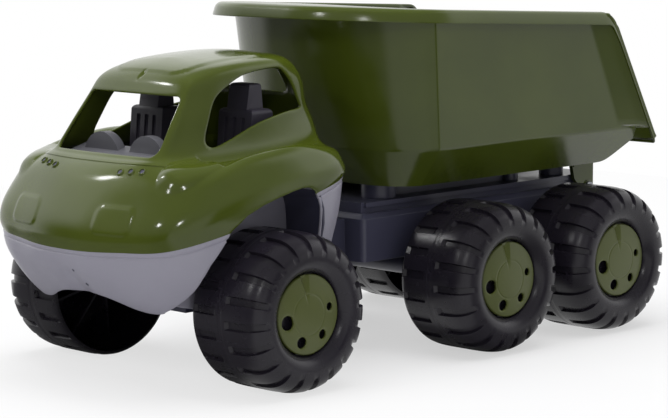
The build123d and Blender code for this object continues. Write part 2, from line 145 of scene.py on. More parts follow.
# A sheet over a grid of two parameters. Where a keep function is given, the sheet ends where
# it falls below zero: grid points near that line slide along their grid lines onto it, and
# their places there come from halving the step again and again.
def gridSheet(surface, us, vs, keep=None, closedU=False):
    u, v = np.meshgrid(us, vs, indexing="ij")
    points = surface(u, v)
    quads = gridQuads(*u.shape, closedU)
    if keep is None:
        return points.reshape(-1, 3), quads, noTriangles
    value = keep(points)
    span = us[-1] - us[0] + (us[1] - us[0])
    halvings, reach, noStep = 18, 0.5, 2.0
    bestT = np.full(u.shape, noStep)
    goU, goV = np.zeros(u.shape), np.zeros(u.shape)
    for du, dv in ((1, 0), (-1, 0), (0, 1), (0, -1)):
        near = np.roll(value, (-du, -dv), axis=(0, 1))
        stepU, stepV = np.roll(u, -du, axis=0) - u, np.roll(v, -dv, axis=1) - v
        valid = np.ones(u.shape, dtype=bool)
        if du and closedU:
            stepU = (stepU + span / 2) % span - span / 2
        elif du:
            valid[-1 if du > 0 else 0, :] = False
        if dv:
            valid[:, -1 if dv > 0 else 0] = False
        crosses = valid & ((value < 0) != (near < 0))
        with np.errstate(divide="ignore", invalid="ignore"):
            t = np.where(crosses, value / (value - near), noStep)
        closer = crosses & (t <= reach) & (t < bestT)
        bestT = np.where(closer, t, bestT)
        goU, goV = np.where(closer, stepU, goU), np.where(closer, stepV, goV)
    moved = bestT <= reach
    baseU, baseV, stepU, stepV = u[moved], v[moved], goU[moved], goV[moved]
    low, high = np.zeros(len(baseU)), np.ones(len(baseU))
    startSign = value[moved] < 0
    for _ in range(halvings):
        middle = (low + high) / 2
        same = (keep(surface(baseU + stepU * middle, baseV + stepV * middle)) < 0) == startSign
        low, high = np.where(same, middle, low), np.where(same, high, middle)
    points[moved] = surface(baseU + stepU * high, baseV + stepV * high)
    value[moved] = 0.0
    flat, points = value.ravel(), points.reshape(-1, 3)
    out = flat[quads] < 0
    centre = keep(points[quads].mean(axis=1))
    whole = (out.sum(axis=1) == 0) & ((flat[quads].max(axis=1) > 0) | (centre > 0))
    corner = out.sum(axis=1) == 1
    gone = np.argmax(out, axis=1)
    triangles = np.take_along_axis(quads, (gone[:, None] + np.array([1, 2, 3])) % 4, axis=1)
    sound = corner & (flat[triangles[:, 1]] > 0)
    return points, quads[whole], triangles[sound]


# Joins points that fall together and drops points and faces that are not used
def weld(points, quads, triangles, nearness=1e-3):
    _, first, joined = np.unique(np.round(points / nearness).astype(np.int64), axis=0,
                                 return_index=True, return_inverse=True)
    joined = joined.ravel()
    points = points[first]
    faces = np.concatenate([joined[quads], joined[triangles][:, [0, 1, 2, 2]]])
    # A quad that has lost a side becomes a triangle
    doubled = faces == np.roll(faces, -1, axis=1)
    lost = doubled.sum(axis=1)
    whole, three = faces[lost == 0], faces[lost == 1]
    hit = np.argmax(doubled[lost == 1], axis=1)
    three = np.take_along_axis(three, (hit[:, None] + np.array([1, 2, 3])) % 4, axis=1)
    three = three[(three != np.roll(three, -1, axis=1)).all(axis=1)]
    used, packed = np.unique(np.concatenate([whole.ravel(), three.ravel()]), return_inverse=True)
    return points[used], packed[:whole.size].reshape(-1, 4), packed[whole.size:].reshape(-1, 3)


# A quad's normal is the cross product of its diagonals, a triangle's that of two sides
def faceNormals(points, faces):
    a, b, c, d = points[faces[:, 0]], points[faces[:, 1]], points[faces[:, 2]], points[faces[:, -1]]
    return np.cross(c - a, d - b) if faces.shape[1] == 4 else np.cross(b - a, c - a)


# A point's normal is the sum of its faces' normals, made one long
def pointNormals(points, quads, triangles):
    total = np.zeros_like(points)
    for faces in (quads, triangles):
        if len(faces):
            each = faceNormals(points, faces)
            for corner in range(faces.shape[1]):
                np.add.at(total, faces[:, corner], each)
    return total / np.maximum(np.linalg.norm(total, axis=1, keepdims=True), 1e-12)


# Gives a sheet its wall: the inner side is the outer one moved against the normals, and the
# open edges get a half-round lip of the wall's own thickness.
def thicken(points, quads, triangles, wall, lip=0.5):
    normals = pointNormals(points, quads, triangles)
    count = len(points)
    inner = points - normals * wall
    edges = np.concatenate([np.stack([faces[:, k], faces[:, (k + 1) % faces.shape[1]]], axis=1)
                            for faces in (quads, triangles) if len(faces) for k in range(faces.shape[1])])
    _, inverse, counts = np.unique(np.sort(edges, axis=1), axis=0, return_inverse=True, return_counts=True)
    rim = edges[counts[inverse.ravel()] == 1]
    tangent = np.zeros_like(points)
    for end in (0, 1):
        np.add.at(tangent, rim[:, end], points[rim[:, 1]] - points[rim[:, 0]])
    outward = np.cross(tangent, normals)
    outward /= np.maximum(np.linalg.norm(outward, axis=1, keepdims=True), 1e-12)
    rimPoints = np.unique(rim)
    place = np.zeros(count, dtype=int)
    place[rimPoints] = np.arange(len(rimPoints))
    steps = ((0.14, 0.7), (0.5, 1.0), (0.86, 0.7))  # depth in the wall and bulge of the lip's rings
    rings = [points[rimPoints] - normals[rimPoints] * wall * depth + outward[rimPoints] * wall * lip * bulge
             for depth, bulge in steps]
    allPoints = np.concatenate([points, inner] + rings)
    a, b = rim[:, 0], rim[:, 1]
    chain = [(a, b)]
    for ring in range(len(steps)):
        base = 2 * count + ring * len(rimPoints)
        chain.append((place[a] + base, place[b] + base))
    chain.append((a + count, b + count))
    lipQuads = [np.stack([lower[1], lower[0], upper[0], upper[1]], axis=1)
                for lower, upper in zip(chain, chain[1:])]
    allQuads = np.concatenate([quads, quads[:, ::-1] + count] + lipQuads)
    allTriangles = np.concatenate([triangles, triangles[:, ::-1] + count]) if len(triangles) else triangles
    return allPoints, allQuads, allTriangles


# Several shapes as one, each with its points numbered on from the last
def joinShapes(*shapes):
    points, quads, triangles, base = [], [], [], 0
    for shape in shapes:
        points.append(shape[0])
        quads.append(shape[1] + base)
        triangles.append(shape[2] + base)
        base += len(shape[0])
    return np.concatenate(points), np.concatenate(quads), np.concatenate(triangles)


# The same shape turned inside out
def flipped(shape):
    points, quads, triangles = shape
    return points, quads[:, ::-1], triangles[:, ::-1]


# The same shape on the truck's other side
def mirrored(shape):
    return flipped((shape[0] * (-1, 1, 1), *shape[1:]))


# Turns a grid of places along the x axis and radii round that axis, closed both ways: a point
# is its x, then its radius times the angle's cosine and sine
def turnedGrid(x, radius, angles):
    points = np.stack([x, np.cos(angles)[:, None] * radius, np.sin(angles)[:, None] * radius], axis=-1)
    return points.reshape(-1, 3), gridQuads(*x.shape, True, True)[:, [0, 3, 2, 1]], noTriangles


# Turns a closed profile of (x, radius) into a ring-like solid
def turned(profile, cells):
    x, radius = np.array(profile, dtype=float).T
    x, radius = (np.broadcast_to(values, (cells, len(values))) for values in (x, radius))
    return turnedGrid(x, radius, np.arange(cells) * 2 * np.pi / cells)


# Puts a finished shape into the scene as one object at the origin
def makePiece(name, shape, material, body, slotName, replaced=(), sharpAngle=35.0, weldFirst=True):
    points, quads, triangles = weld(*shape) if weldFirst else shape
    mesh = bpy.data.meshes.new(name)
    sizes = np.concatenate([np.full(len(quads), 4), np.full(len(triangles), 3)])
    loops = np.concatenate([quads.ravel(), triangles.ravel()])
    mesh.vertices.add(len(points))
    mesh.vertices.foreach_set("co", truckPoint(points).ravel())
    mesh.loops.add(len(loops))
    mesh.loops.foreach_set("vertex_index", loops.astype(np.int32))
    mesh.polygons.add(len(sizes))
    mesh.polygons.foreach_set("loop_start", np.concatenate([[0], np.cumsum(sizes)[:-1]]).astype(np.int32))
    mesh.polygons.foreach_set("loop_total", sizes.astype(np.int32))
    mesh.update(calc_edges=True)
    mesh.validate()
    mesh.shade_smooth()
    mesh.set_sharp_from_angle(angle=np.radians(sharpAngle))
    mesh.materials.append(material)
    piece = bpy.data.objects.new(name, mesh)
    bpy.context.scene.collection.objects.link(piece)
    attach(piece, body)
    if replaced:
        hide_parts(*replaced)
    return piece


# One shader value. Arithmetic on values adds Math nodes, so a formula reads as one.
class Value:
    def __init__(self, nodes, socket):
        self.nodes, self.socket = nodes, socket

    def math(self, operation, *values):
        return self.nodes.node("ShaderNodeMath", {"operation": operation}, dict(enumerate(values)))

    def __add__(self, other):
        return self.math("ADD", self, other)

    def __mul__(self, other):
        return self.math("MULTIPLY", self, other)

    def __sub__(self, other):
        return self.math("SUBTRACT", self, other)

    def __rsub__(self, other):
        return self.math("SUBTRACT", other, self)

    __radd__, __rmul__ = __add__, __mul__

    # A smooth step from 0 to 1 as the value goes from low to high
    def between(self, low, high):
        return self.nodes.node("ShaderNodeMapRange", {"interpolation_type": "SMOOTHSTEP"},
                               {"Value": self, "From Min": low, "From Max": high})


# The nodes of one tree. Each comes from node(): its type, its settings, which are set first,
# and the values or links of its sockets.
class Nodes:
    def __init__(self, tree):
        self.tree = tree

    def node(self, kind, settings, inputs, output=0):
        made = self.tree.nodes.new(kind)
        for key, setting in settings.items():
            if key == "stops":
                self.setStops(made.color_ramp.elements, setting)
            else:
                setattr(made, key, setting)
        self.feed(made, inputs)
        return Value(self, made.outputs[output])

    def feed(self, node, inputs):
        for key, value in inputs.items():
            if isinstance(value, Value):
                self.tree.links.new(value.socket, node.inputs[key])
            else:
                node.inputs[key].default_value = value

    def setStops(self, stops, levels):
        while len(stops) < len(levels):
            stops.new(1.0)
        for stop, (position, level) in zip(stops, levels):
            stop.position, stop.color = position, (level, level, level, 1.0)

    def split(self, vector):
        first = self.node("ShaderNodeSeparateXYZ", {}, {0: vector})
        return [Value(self, socket) for socket in first.socket.node.outputs]

    def mixColour(self, mask, first, second):
        return self.node("ShaderNodeMix", {"data_type": "RGBA"}, {0: mask, 6: first, 7: second}, 2)

    def mixLevel(self, share, first, second):
        return self.node("ShaderNodeMapRange", {}, {"Value": share, "To Min": first, "To Max": second})

    def ray(self, kind):
        return self.node("ShaderNodeLightPath", {}, {}, f"Is {kind} Ray")


# The nodes of one material, with the patterns that this truck's plastics are made of
class Shader(Nodes):
    def __init__(self, name):
        self.material = bpy.data.materials.new(name)
        self.material.use_nodes = True
        super().__init__(self.material.node_tree)
        self.principled = self.tree.nodes["Principled BSDF"]
        self.place = self.node("ShaderNodeTexCoord", {}, {}, "Object")

    def noise(self, scale, detail=3.0, rough=0.5, place=None, distortion=0.0):
        return self.node("ShaderNodeTexNoise", {}, {"Vector": place or self.place, "Scale": scale,
                                                    "Detail": detail, "Roughness": rough,
                                                    "Distortion": distortion})

    def stretched(self, scale, turn=(0.0, 0.0, 0.0)):
        return self.node("ShaderNodeMapping", {}, {"Vector": self.place, "Scale": scale, "Rotation": turn})

    def bump(self, height, strength, distance, **under):
        return self.node("ShaderNodeBump", {}, {"Height": height, "Strength": strength,
                                                "Distance": distance, **under})

    def set(self, **sockets):
        self.feed(self.principled, {key.replace("_", " "): value for key, value in sockets.items()})
        return self.material


# A colour given in display values from 0 to 255, as the linear one that shaders take
def linear(*channels):
    share = np.array(channels) / 255.0
    return (*np.where(share <= 0.04045, share / 12.92, ((share + 0.055) / 1.055) ** 2.4), 1.0)


# Moulded plastic: a colour that drifts a little as pigment does, faint flow marks from the
# mould, fine handling scratches in the gloss and a slight waviness of the skin.
def mouldedPlastic(name, look):
    shader = Shader(name)
    drift = shader.noise(9.0)
    flow = shader.noise(14.0, 4.0, 0.6, shader.stretched((1.0, 0.22, 0.6)), 1.2)
    pigment = (drift * 0.65 + flow * 0.35).between(0.36, 0.64)
    colour = shader.mixColour(pigment, linear(*look["deep"]), linear(*look["light"]))
    speck = shader.noise(900.0, 2.0).between(0.66, 0.74)
    colour = shader.mixColour(speck * look["speck"], colour, linear(*look["speckColour"]))
    lengthwise = shader.noise(150.0, 2.0, 0.5, shader.stretched((1.0, 0.05, 1.0), (0.3, 0.1, 0.6)))
    crosswise = shader.noise(170.0, 2.0, 0.5, shader.stretched((0.06, 1.0, 1.0), (0.1, 0.5, -0.4)))
    scratches = lengthwise.between(0.66, 0.78) + crosswise.between(0.68, 0.8)
    smudge = shader.noise(22.0, 4.0, 0.6).between(0.42, 0.7)
    rough = look["rough"] + smudge * look["smudge"] + scratches * look["scratch"]
    wave = shader.bump(shader.noise(36.0, 2.0), look["wave"], 0.0012)
    skin = shader.bump(shader.noise(look["grainScale"], 3.0, 0.6), look["grain"], 0.0002, Normal=wave)
    return shader.set(Specular_IOR_Level=look["specular"], IOR=1.5, Base_Color=colour, Roughness=rough,
                      Normal=skin)


# Colours are display values from 0 to 255; the rest are shares, and grainScale is per metre
greenLook = {"deep": (62, 72, 18), "light": (69, 79, 23), "speck": 0.2, "speckColour": (84, 94, 42),
             "rough": 0.12, "smudge": 0.04, "scratch": 0.08, "grainScale": 1400.0, "grain": 0.05,
             "wave": 0.1, "specular": 0.5}
charcoalLook = {**greenLook, "deep": (57, 57, 74), "light": (64, 64, 82), "speckColour": (66, 66, 82),
                "rough": 0.33, "smudge": 0.1, "scratch": 0.1, "grainScale": 1300.0, "grain": 0.14,
                "wave": 0.08}
looks = {
    "green": greenLook,
    "bed": {**greenLook, "deep": (58, 68, 16), "light": (65, 75, 21), "rough": 0.16, "smudge": 0.05,
            "grain": 0.08},
    "cap": {**greenLook, "deep": (68, 75, 28), "light": (75, 82, 33), "rough": 0.3, "smudge": 0.08,
            "grain": 0.16},
    "grey": {**greenLook, "deep": (140, 138, 150), "light": (148, 146, 158), "speckColour": (176, 176, 186),
             "rough": 0.3, "smudge": 0.07, "grainScale": 1500.0, "grain": 0.08, "wave": 0.08,
             "specular": 0.45},
    "charcoal": charcoalLook,
    "tyre": {**charcoalLook, "deep": (25, 22, 29), "light": (31, 28, 36), "speckColour": (48, 46, 54),
             "rough": 0.25, "smudge": 0.08, "grainScale": 1200.0, "wave": 0.12, "specular": 0.4},
    "seat": {**charcoalLook, "deep": (50, 47, 58), "light": (57, 54, 65), "rough": 0.4, "grain": 0.3},
    "dash": {**charcoalLook, "deep": (84, 84, 90), "light": (92, 92, 98), "rough": 0.42},
}
plastic = {name: mouldedPlastic(f"{name}Plastic", look) for name, look in looks.items()}


# Drawn steel: fine turned rings along the bar and a dull film of handling
def drawnSteel(name):
    shader = Shader(name)
    rings = shader.noise(700.0, 2.0, 0.5, shader.stretched((1.0, 0.02, 0.02)))
    film = shader.noise(60.0, 4.0).between(0.4, 0.65)
    colour = shader.mixColour(film, linear(176, 178, 182), linear(142, 143, 148))
    return shader.set(Metallic=1.0, Base_Color=colour, Roughness=0.28 + film * 0.14,
                      Normal=shader.bump(rings, 0.2, 0.0002))


nodeMaterials = {"green_plastic": plastic["green"], "cap_green_plastic": plastic["cap"],
                 "grey_plastic": plastic["grey"], "charcoal_plastic": plastic["charcoal"],
                 "wheel_plastic": plastic["tyre"], "axle_steel": drawnSteel("axleSteel")}
for subpart in frame["record"]["subparts"]:
    node = bpy.data.objects[subpart["node"]]
    if not node.data.materials:
        node.data.materials.append(None)
    for nodeSlot in node.material_slots:
        nodeSlot.material = nodeMaterials[subpart["material_slot"]]
stage("materials made")


# The cab is a skin through rings of points: one ring a level, from the seam up to the ridge of
# the roof, and each ring from the middle of the nose round the left side to the middle of the
# back. The right side mirrors it.
cab = {
    "wall": 2.6,
    "rings": [
        # the seam
        [(0, -120.5, 112.6), (34, -118.5, 113.1), (68, -111.8, 114.8), (101, -101.5, 117.4),
         (120, -72, 124.8), (126.5, -35, 134), (127, 5, 144), (125.5, 40, 152.8), (112, 76, 161.8),
         (60, 85, 164), (0, 88, 164.8)],
        # the fullest line above it
        [(0, -122, 122), (35, -120, 122), (69.5, -113.5, 123), (103, -103, 126), (122, -73, 134),
         (128, -36, 143), (128.5, 5, 152), (127, 40, 158.5), (113.5, 77.5, 167), (61, 87, 170.5),
         (0, 89.5, 171)],
        [(0, -118.5, 136), (34.5, -116.5, 136), (69, -110, 136.5), (102, -100, 139), (121.5, -71, 147),
         (127.5, -35, 155), (128, 5, 162), (126.5, 39, 167), (112.5, 76, 172), (60.5, 86.5, 174.5),
         (0, 89.5, 175)],
        [(0, -109, 154), (33.5, -107, 154), (67, -101, 154), (98, -91, 155), (118, -65, 161),
         (123.5, -32, 168), (124, 5, 174), (122.5, 38, 177), (110, 74, 178.5), (62, 88.5, 180),
         (0, 91, 180)],
        # the crests of the wings
        [(0, -98, 169.5), (32.5, -96.5, 169.5), (64, -91.5, 169.5), (90, -81, 170.5), (109, -57, 175.5),
         (111.5, -30, 183.5), (111.5, 3, 188), (110, 36, 189), (101, 71, 183.5), (65, 88.5, 182.5),
         (0, 91, 182)],
        # the valleys between the wings and the cabin
        [(0, -86.5, 178.5), (32, -85.5, 178.5), (62.5, -81.5, 178.8), (78, -70, 177.5), (85, -48, 176),
         (87, -22, 176.5), (87, 4, 178), (86.5, 36, 180), (83, 72.5, 184), (61, 89.5, 191), (0, 91.5, 192)],
        [(0, -78, 185.5), (31, -77, 185.5), (60.5, -74, 185.5), (68.5, -62, 187), (71.5, -42, 189),
         (72, -18, 191.5), (72, 6, 194), (72, 38, 197), (70.5, 75.5, 200), (55.5, 90.5, 203), (0, 91, 203)],
        [(0, -62, 207), (29.5, -61, 207), (57.5, -58.5, 207), (64, -48, 208), (66.5, -30, 209),
         (67.5, -10, 210), (67.5, 10, 211.5), (67.5, 38, 214), (65.5, 73, 216), (51.5, 87.5, 217),
         (0, 89.5, 217)],
        [(0, -46.5, 228), (28, -46, 228), (54.5, -43.5, 227.5), (60, -35, 228.5), (62, -20, 230),
         (62.5, -3, 231.5), (62.5, 14, 232.5), (62.5, 38, 233.5), (62, 71.5, 234), (49.5, 86, 234.5),
         (0, 87.5, 234.5)],
        # the edge of the roof
        [(0, -38.5, 240), (26.5, -38, 240), (50, -35.5, 239.5), (55.5, -27.5, 241.5), (57, -13, 244.5),
         (57.5, 1, 246.5), (57.5, 16, 248), (57, 38, 249), (55.5, 64.5, 249.5), (43.5, 79, 250),
         (0, 83.5, 250.5)],
        [(0, -24, 249), (18, -23, 249), (34, -20, 249), (38, -14, 250), (39.5, -4, 251.5),
         (40, 7, 252.5), (40, 20, 253.5), (39.5, 38, 254.5), (38, 56, 255), (28, 70, 255), (0, 74, 255)],
        [(0, -8, 253.6), (0, -7, 253.7), (0, -4, 254), (0, 0, 254.3), (0, 6, 254.8),
         (0, 14, 255.3), (0, 24, 255.9), (0, 35, 256.4), (0, 46, 256.8), (0, 56, 256.8), (0, 59, 256.6)],
    ],
    "windowsAbove": 165, "windscreenBefore": -15, "rearBehind": 65, "sideBeyond": 45, "archBeyond": 78,
    "sideWindow": [(-27, 188), (-32, 194), (-27, 206), (-19, 221), (-10, 230), (3, 237), (18, 243),
                   (37, 246), (56, 247), (63, 243), (69, 233), (74, 218), (74, 212), (61, 210), (44, 207),
                   (23, 202), (2, 195), (-14, 190)],
    "windscreen": [(-55.5, 190.5), (55.5, 190.5), (50.5, 223), (-50.5, 223)], "windscreenCorner": 7.0,
    "rearWindow": [(-33, 225.5), (33, 225.5), (26, 239), (-26, 239)], "rearCorner": 4.0,
    "arch": [(-88, 30), (-82.5, 68), (-76.5, 85), (-74, 95.5), (-70, 106), (-61.5, 118.5), (-53, 131.5),
             (-40, 142), (-24, 148.5), (-8, 153), (7, 156.5), (18, 158.3), (26, 158.2), (33, 154.5),
             (38, 149), (42, 140), (43, 128), (43, 30)],
    "pad": {"x": 54.0, "z": 138.0, "halfWidth": 18.5, "halfHeight": 10.5, "corner": 6.0, "raised": 0.8,
            "edge": (-1.6, 1.2), "before": -60},
    "pod": {"start": (88, -93, 162), "end": (93, -46, 182), "halfWidth": 19.0, "raised": 5.8, "fullAt": 0.7,
            "fall": 0.5, "square": 0.85, "back": 1.8, "front": 0.3},
    "roofPanel": {"halfWidth": 43, "middle": 14, "halfLength": 46, "corner": 15, "raised": 0.8,
                  "edge": (-1.2, 0.8), "above": 225},
    "notch": {"aft": -35.0, "halfWidth": 2.4, "halfLength": 3.0, "depth": 1.3},
    # The ledge's height, and where it rises and falls, in levels up the skin and stations round it
    "ledge": 0.7, "ledgeRise": (4.89, 4.97), "ledgeFall": (5.2, 5.9), "ledgeEnd": (2.6, 3.4),
}


# Whole rings of points from their left halves
def ringNet(rings):
    left = np.array(rings, dtype=float)
    return np.concatenate([left, (left * (-1, 1, 1))[:, -2:0:-1]], axis=1)


cabNet = ringNet(cab["rings"])
stations = cabNet.shape[1]
# Levels past the ridge repeat the other side's, so the roof runs smoothly over the middle
beyond = cabNet[-2:-6:-1][:, (-np.arange(stations)) % stations]
cabNetWide = np.concatenate([cabNet, beyond])


# A point of the skin is the net's points weighed by one spline along the rings and one up them
def skinPoint(net, u, v):
    along = splineMatrix(net.shape[1], np.ravel(u), closed=True)
    upward = splineMatrix(net.shape[0], np.ravel(v))
    return np.einsum("pu,pv,vuk->pk", along, upward, net, optimize=True).reshape(*np.shape(u), 3)


# The skin's normal is the cross product of its two slopes
def skinNormal(net, u, v, reach=0.02):
    alongU = skinPoint(net, u + reach, v) - skinPoint(net, u - reach, v)
    alongV = skinPoint(net, u, v + reach) - skinPoint(net, u, v - reach)
    normal = np.cross(alongU, alongV)
    return normal / np.maximum(np.linalg.norm(normal, axis=-1, keepdims=True), 1e-9)


# Signed distance from a box with round corners
def roundedBox(across, up, halfAcross, halfUp, corner):
    dx, dz = np.abs(across) - halfAcross + corner, np.abs(up) - halfUp + corner
    return np.hypot(np.maximum(dx, 0), np.maximum(dz, 0)) + np.minimum(np.maximum(dx, dz), 0) - corner


# Height of the moulded details above the skin: two lamp pads on the nose, a pod on each wing,
# the roof's panel and notch, and the ledge under the windscreen. A pod is a rounded bar along
# its own line, pointed in front and cut off behind.
def cabRelief(points, u, v):
    x, aft, z = points[..., 0], points[..., 1], points[..., 2]
    pad, pod, notch, panel = cab["pad"], cab["pod"], cab["notch"], cab["roofPanel"]
    edge = roundedBox(np.abs(x) - pad["x"], z - pad["z"], pad["halfWidth"], pad["halfHeight"],
                      pad["corner"])
    relief = pad["raised"] * (1 - smoothStep(*pad["edge"], edge)) * (aft < pad["before"])
    edge = roundedBox(x, aft - panel["middle"], panel["halfWidth"], panel["halfLength"], panel["corner"])
    relief = relief + panel["raised"] * (1 - smoothStep(*panel["edge"], edge)) * (z > panel["above"])
    start, end = np.array(pod["start"], float), np.array(pod["end"], float)
    length = np.linalg.norm(end - start)
    direction = (end - start) / length
    offset = np.stack([np.abs(x), aft, z], axis=-1) - start
    along = offset @ direction
    away = np.linalg.norm(offset - along[..., None] * direction, axis=-1)
    share = np.clip(along / length, 0, 1)
    point = 1 - (1 - np.minimum(share / pod["fullAt"], 1)) ** 2
    width = pod["halfWidth"] * np.sqrt(np.clip(point, 0.0, 1))
    bulge = np.clip(1 - (away / np.maximum(width, 0.1)) ** 2, 0, 1) ** pod["square"]
    ends = (1 - smoothStep(length - pod["back"], length, along)) * smoothStep(0.0, pod["front"], share)
    podHeight = pod["raised"] * (1 - pod["fall"] * (1 - share)) * bulge * ends
    cut = np.maximum(1 - np.abs(x) / notch["halfWidth"], 0)
    cut = cut * np.exp(-((aft - notch["aft"]) / notch["halfLength"]) ** 2)
    relief = relief + podHeight - notch["depth"] * cut
    station = np.minimum(u % stations, stations - u % stations)
    ledge = smoothStep(*cab["ledgeRise"], v) * (1 - smoothStep(*cab["ledgeFall"], v))
    return relief + cab["ledge"] * ledge * (1 - smoothStep(*cab["ledgeEnd"], station))


# The skin moved out along its normal by the details' height
def cabSurface(u, v):
    base = skinPoint(cabNetWide, u, v)
    return base + skinNormal(cabNetWide, u, v) * cabRelief(base, u, v)[..., None]


sideKnots = np.array(cab["sideWindow"], dtype=float)
sidePlaces = np.linspace(0.0, len(sideKnots), 96, endpoint=False)
sideLine = splineMatrix(len(sideKnots), sidePlaces, closed=True) @ sideKnots


def archDistance(points):
    x, aft, z = points[..., 0], points[..., 1], points[..., 2]
    return np.where(np.abs(x) > cab["archBeyond"], outlineDistance(aft, z, cab["arch"]), farOff)


# Positive where the cab's skin is whole: outside the windows and the wheel arches
def cabKeep(points):
    x, aft, z = points[..., 0], points[..., 1], points[..., 2]
    front = outlineDistance(x, z, cab["windscreen"]) - cab["windscreenCorner"]
    rear = outlineDistance(x, z, cab["rearWindow"]) - cab["rearCorner"]
    windows = ((aft < cab["windscreenBefore"], front), (aft > cab["rearBehind"], rear),
               (np.abs(x) > cab["sideBeyond"], outlineDistance(aft, z, sideLine)))
    high = z > cab["windowsAbove"]
    return np.min([archDistance(points), *(np.where(near & high, away, farOff) for near, away in windows)],
                  axis=0)


# Columns round both skins, numbered as the stations are, and rows up the cab
around = spread(0.0, (2.6, 52), (4.6, 40), (8.4, 60), (10.0, 20))
around = np.concatenate([around, stations - around[-2:0:-1]])
upCab = spread(0.0, (0.25, 4), (4.84, 52), (5.04, 8), (9.6, 48), (11.0, 14))
cabShape = weld(*gridSheet(cabSurface, around, upCab, cabKeep, closedU=True))
makePiece("cabShell", thicken(*cabShape, cab["wall"]), plastic["green"], "chassis", "green_plastic",
          ("cab_body",))
stage("cab made")


# The grey lower moulding hangs from the seam: rings go down from it to the bottom edge
hull = {
    "wall": 2.6,
    "rings": [
        [(0, -118.5, 101), (33.5, -116.8, 101), (67, -110, 102), (100, -99.5, 104), (119, -71, 110),
         (125.5, -35, 120), (126, 5, 130), (124.5, 40, 139), (111, 75, 150), (59.5, 84, 152), (0, 87, 153)],
        [(0, -112, 90), (32.5, -110.5, 89.5), (65.5, -104.5, 89), (95.5, -94, 90), (115, -68, 94),
         (122, -35, 102), (123, 5, 112), (122, 40, 122), (109, 73, 132), (58.5, 82, 136), (0, 85, 137)],
        [(0, -103, 80), (31.5, -101.5, 78), (63.5, -96.5, 76), (89, -87, 77), (108, -64, 80),
         (117, -35, 86), (119, 5, 94), (118, 40, 102), (105, 69, 110), (57, 78, 114), (0, 81, 115)],
        [(0, -92, 71), (30.5, -91, 68), (61, -86.5, 65), (82, -78, 65), (98, -60, 67),
         (108, -35, 70), (112, 5, 74), (112, 40, 79), (100, 64, 85), (54, 72, 88), (0, 75, 89)],
        [(0, -78, 62), (29, -77, 58), (57, -73, 55), (74, -66, 54), (88, -52, 55),
         (98, -33, 56), (102, 5, 58), (103, 38, 59), (92, 58, 62), (50, 65, 64), (0, 68, 65)],
    ],
    "grooveDrop": 3.6, "groove": 0.7, "grooveWidth": 0.7, "valley": 2.2, "valleyWidth": 11.0,
    "valleyLevels": (0.6, 2.2), "valleyBefore": -50, "bottomBefore": -44, "lowest": 57.0, "ringDrop": 12.0,
    # The lower edge seen from the front: distance from the middle and height
    "bottom": [(0, 76.2), (20, 75.6), (32, 73.6), (42, 70.6), (50, 67.6), (58, 65.5), (67, 64.5),
               (77, 65.5), (88, 70.2), (97, 76.2), (107, 84.4), (116, 93.5), (122, 105), (128, 128)],
}
hullNet = ringNet([cab["rings"][0]] + hull["rings"])


# A fine groove runs just under the seam, and a soft valley runs down the middle of the nose:
# both are bell curves, in the drop below the seam and in the distance from the middle
def hullRelief(points, v):
    x, aft = points[..., 0], points[..., 1]
    drop = v * hull["ringDrop"]
    groove = -hull["groove"] * np.exp(-((drop - hull["grooveDrop"]) / hull["grooveWidth"]) ** 2)
    valley = -hull["valley"] * np.exp(-(x / hull["valleyWidth"]) ** 2)
    return groove + valley * smoothStep(*hull["valleyLevels"], v) * (aft < hull["valleyBefore"])


# The hull's skin moved in along its normal by the groove and the valley
def hullSurface(u, v):
    base = skinPoint(hullNet, u, v)
    return base - skinNormal(hullNet, u, v) * hullRelief(base, v)[..., None]


# The lower edge mirrored and closed below: what lies in it is cut away
lowerKnots = np.array(hull["bottom"], float)
lowerLine = splineMatrix(len(lowerKnots), np.linspace(0, len(lowerKnots) - 1, 60)) @ lowerKnots
lowerOutline = np.concatenate([lowerLine[::-1] * (-1, 1), lowerLine[1:],
                               [[150, 128], [150, 20], [-150, 20], [-150, 128]]])


# Positive where the hull is whole: above its lower edge and outside the wheel arches
def hullKeep(points):
    x, aft, z = points[..., 0], points[..., 1], points[..., 2]
    bottom = np.where(aft < hull["bottomBefore"], outlineDistance(x, z, lowerOutline), farOff)
    return np.minimum(np.minimum(bottom, archDistance(points)), z - hull["lowest"])


downHull = spread(0.0, (0.22, 3), (0.38, 10), (5.0, 56))
hullShape = flipped(weld(*gridSheet(hullSurface, around, downHull, hullKeep, closedU=True)))


# The line of the wheel arch from the nose over the wheel and down behind it, as (aft, height),
# with the band's outer edge at each point. The last points stand behind the wheel.
arch = {
    "inner": 81.0, "wall": 2.4, "rearFrom": 12,
    "line": [(-81, 75), (-78, 85), (-75.7, 95.5), (-71.8, 106), (-63.3, 118.5), (-54.8, 131.5), (-40, 142),
             (-24, 148.5), (-8, 153), (7, 156.5), (18, 158.3), (27, 158), (34, 154), (39, 147), (42, 138),
             (43, 126), (43, 58)],
    "outer": [89.5, 102.5, 110.5, 116.5, 120.5, 122.5, 123, 124.5, 125, 125.5, 125.5, 125, 124.5, 124,
              123.5, 122.5, 103.5],
    "foot": [(43, 56), (-16, 56), (-30, 62), (-68, 70)],
}


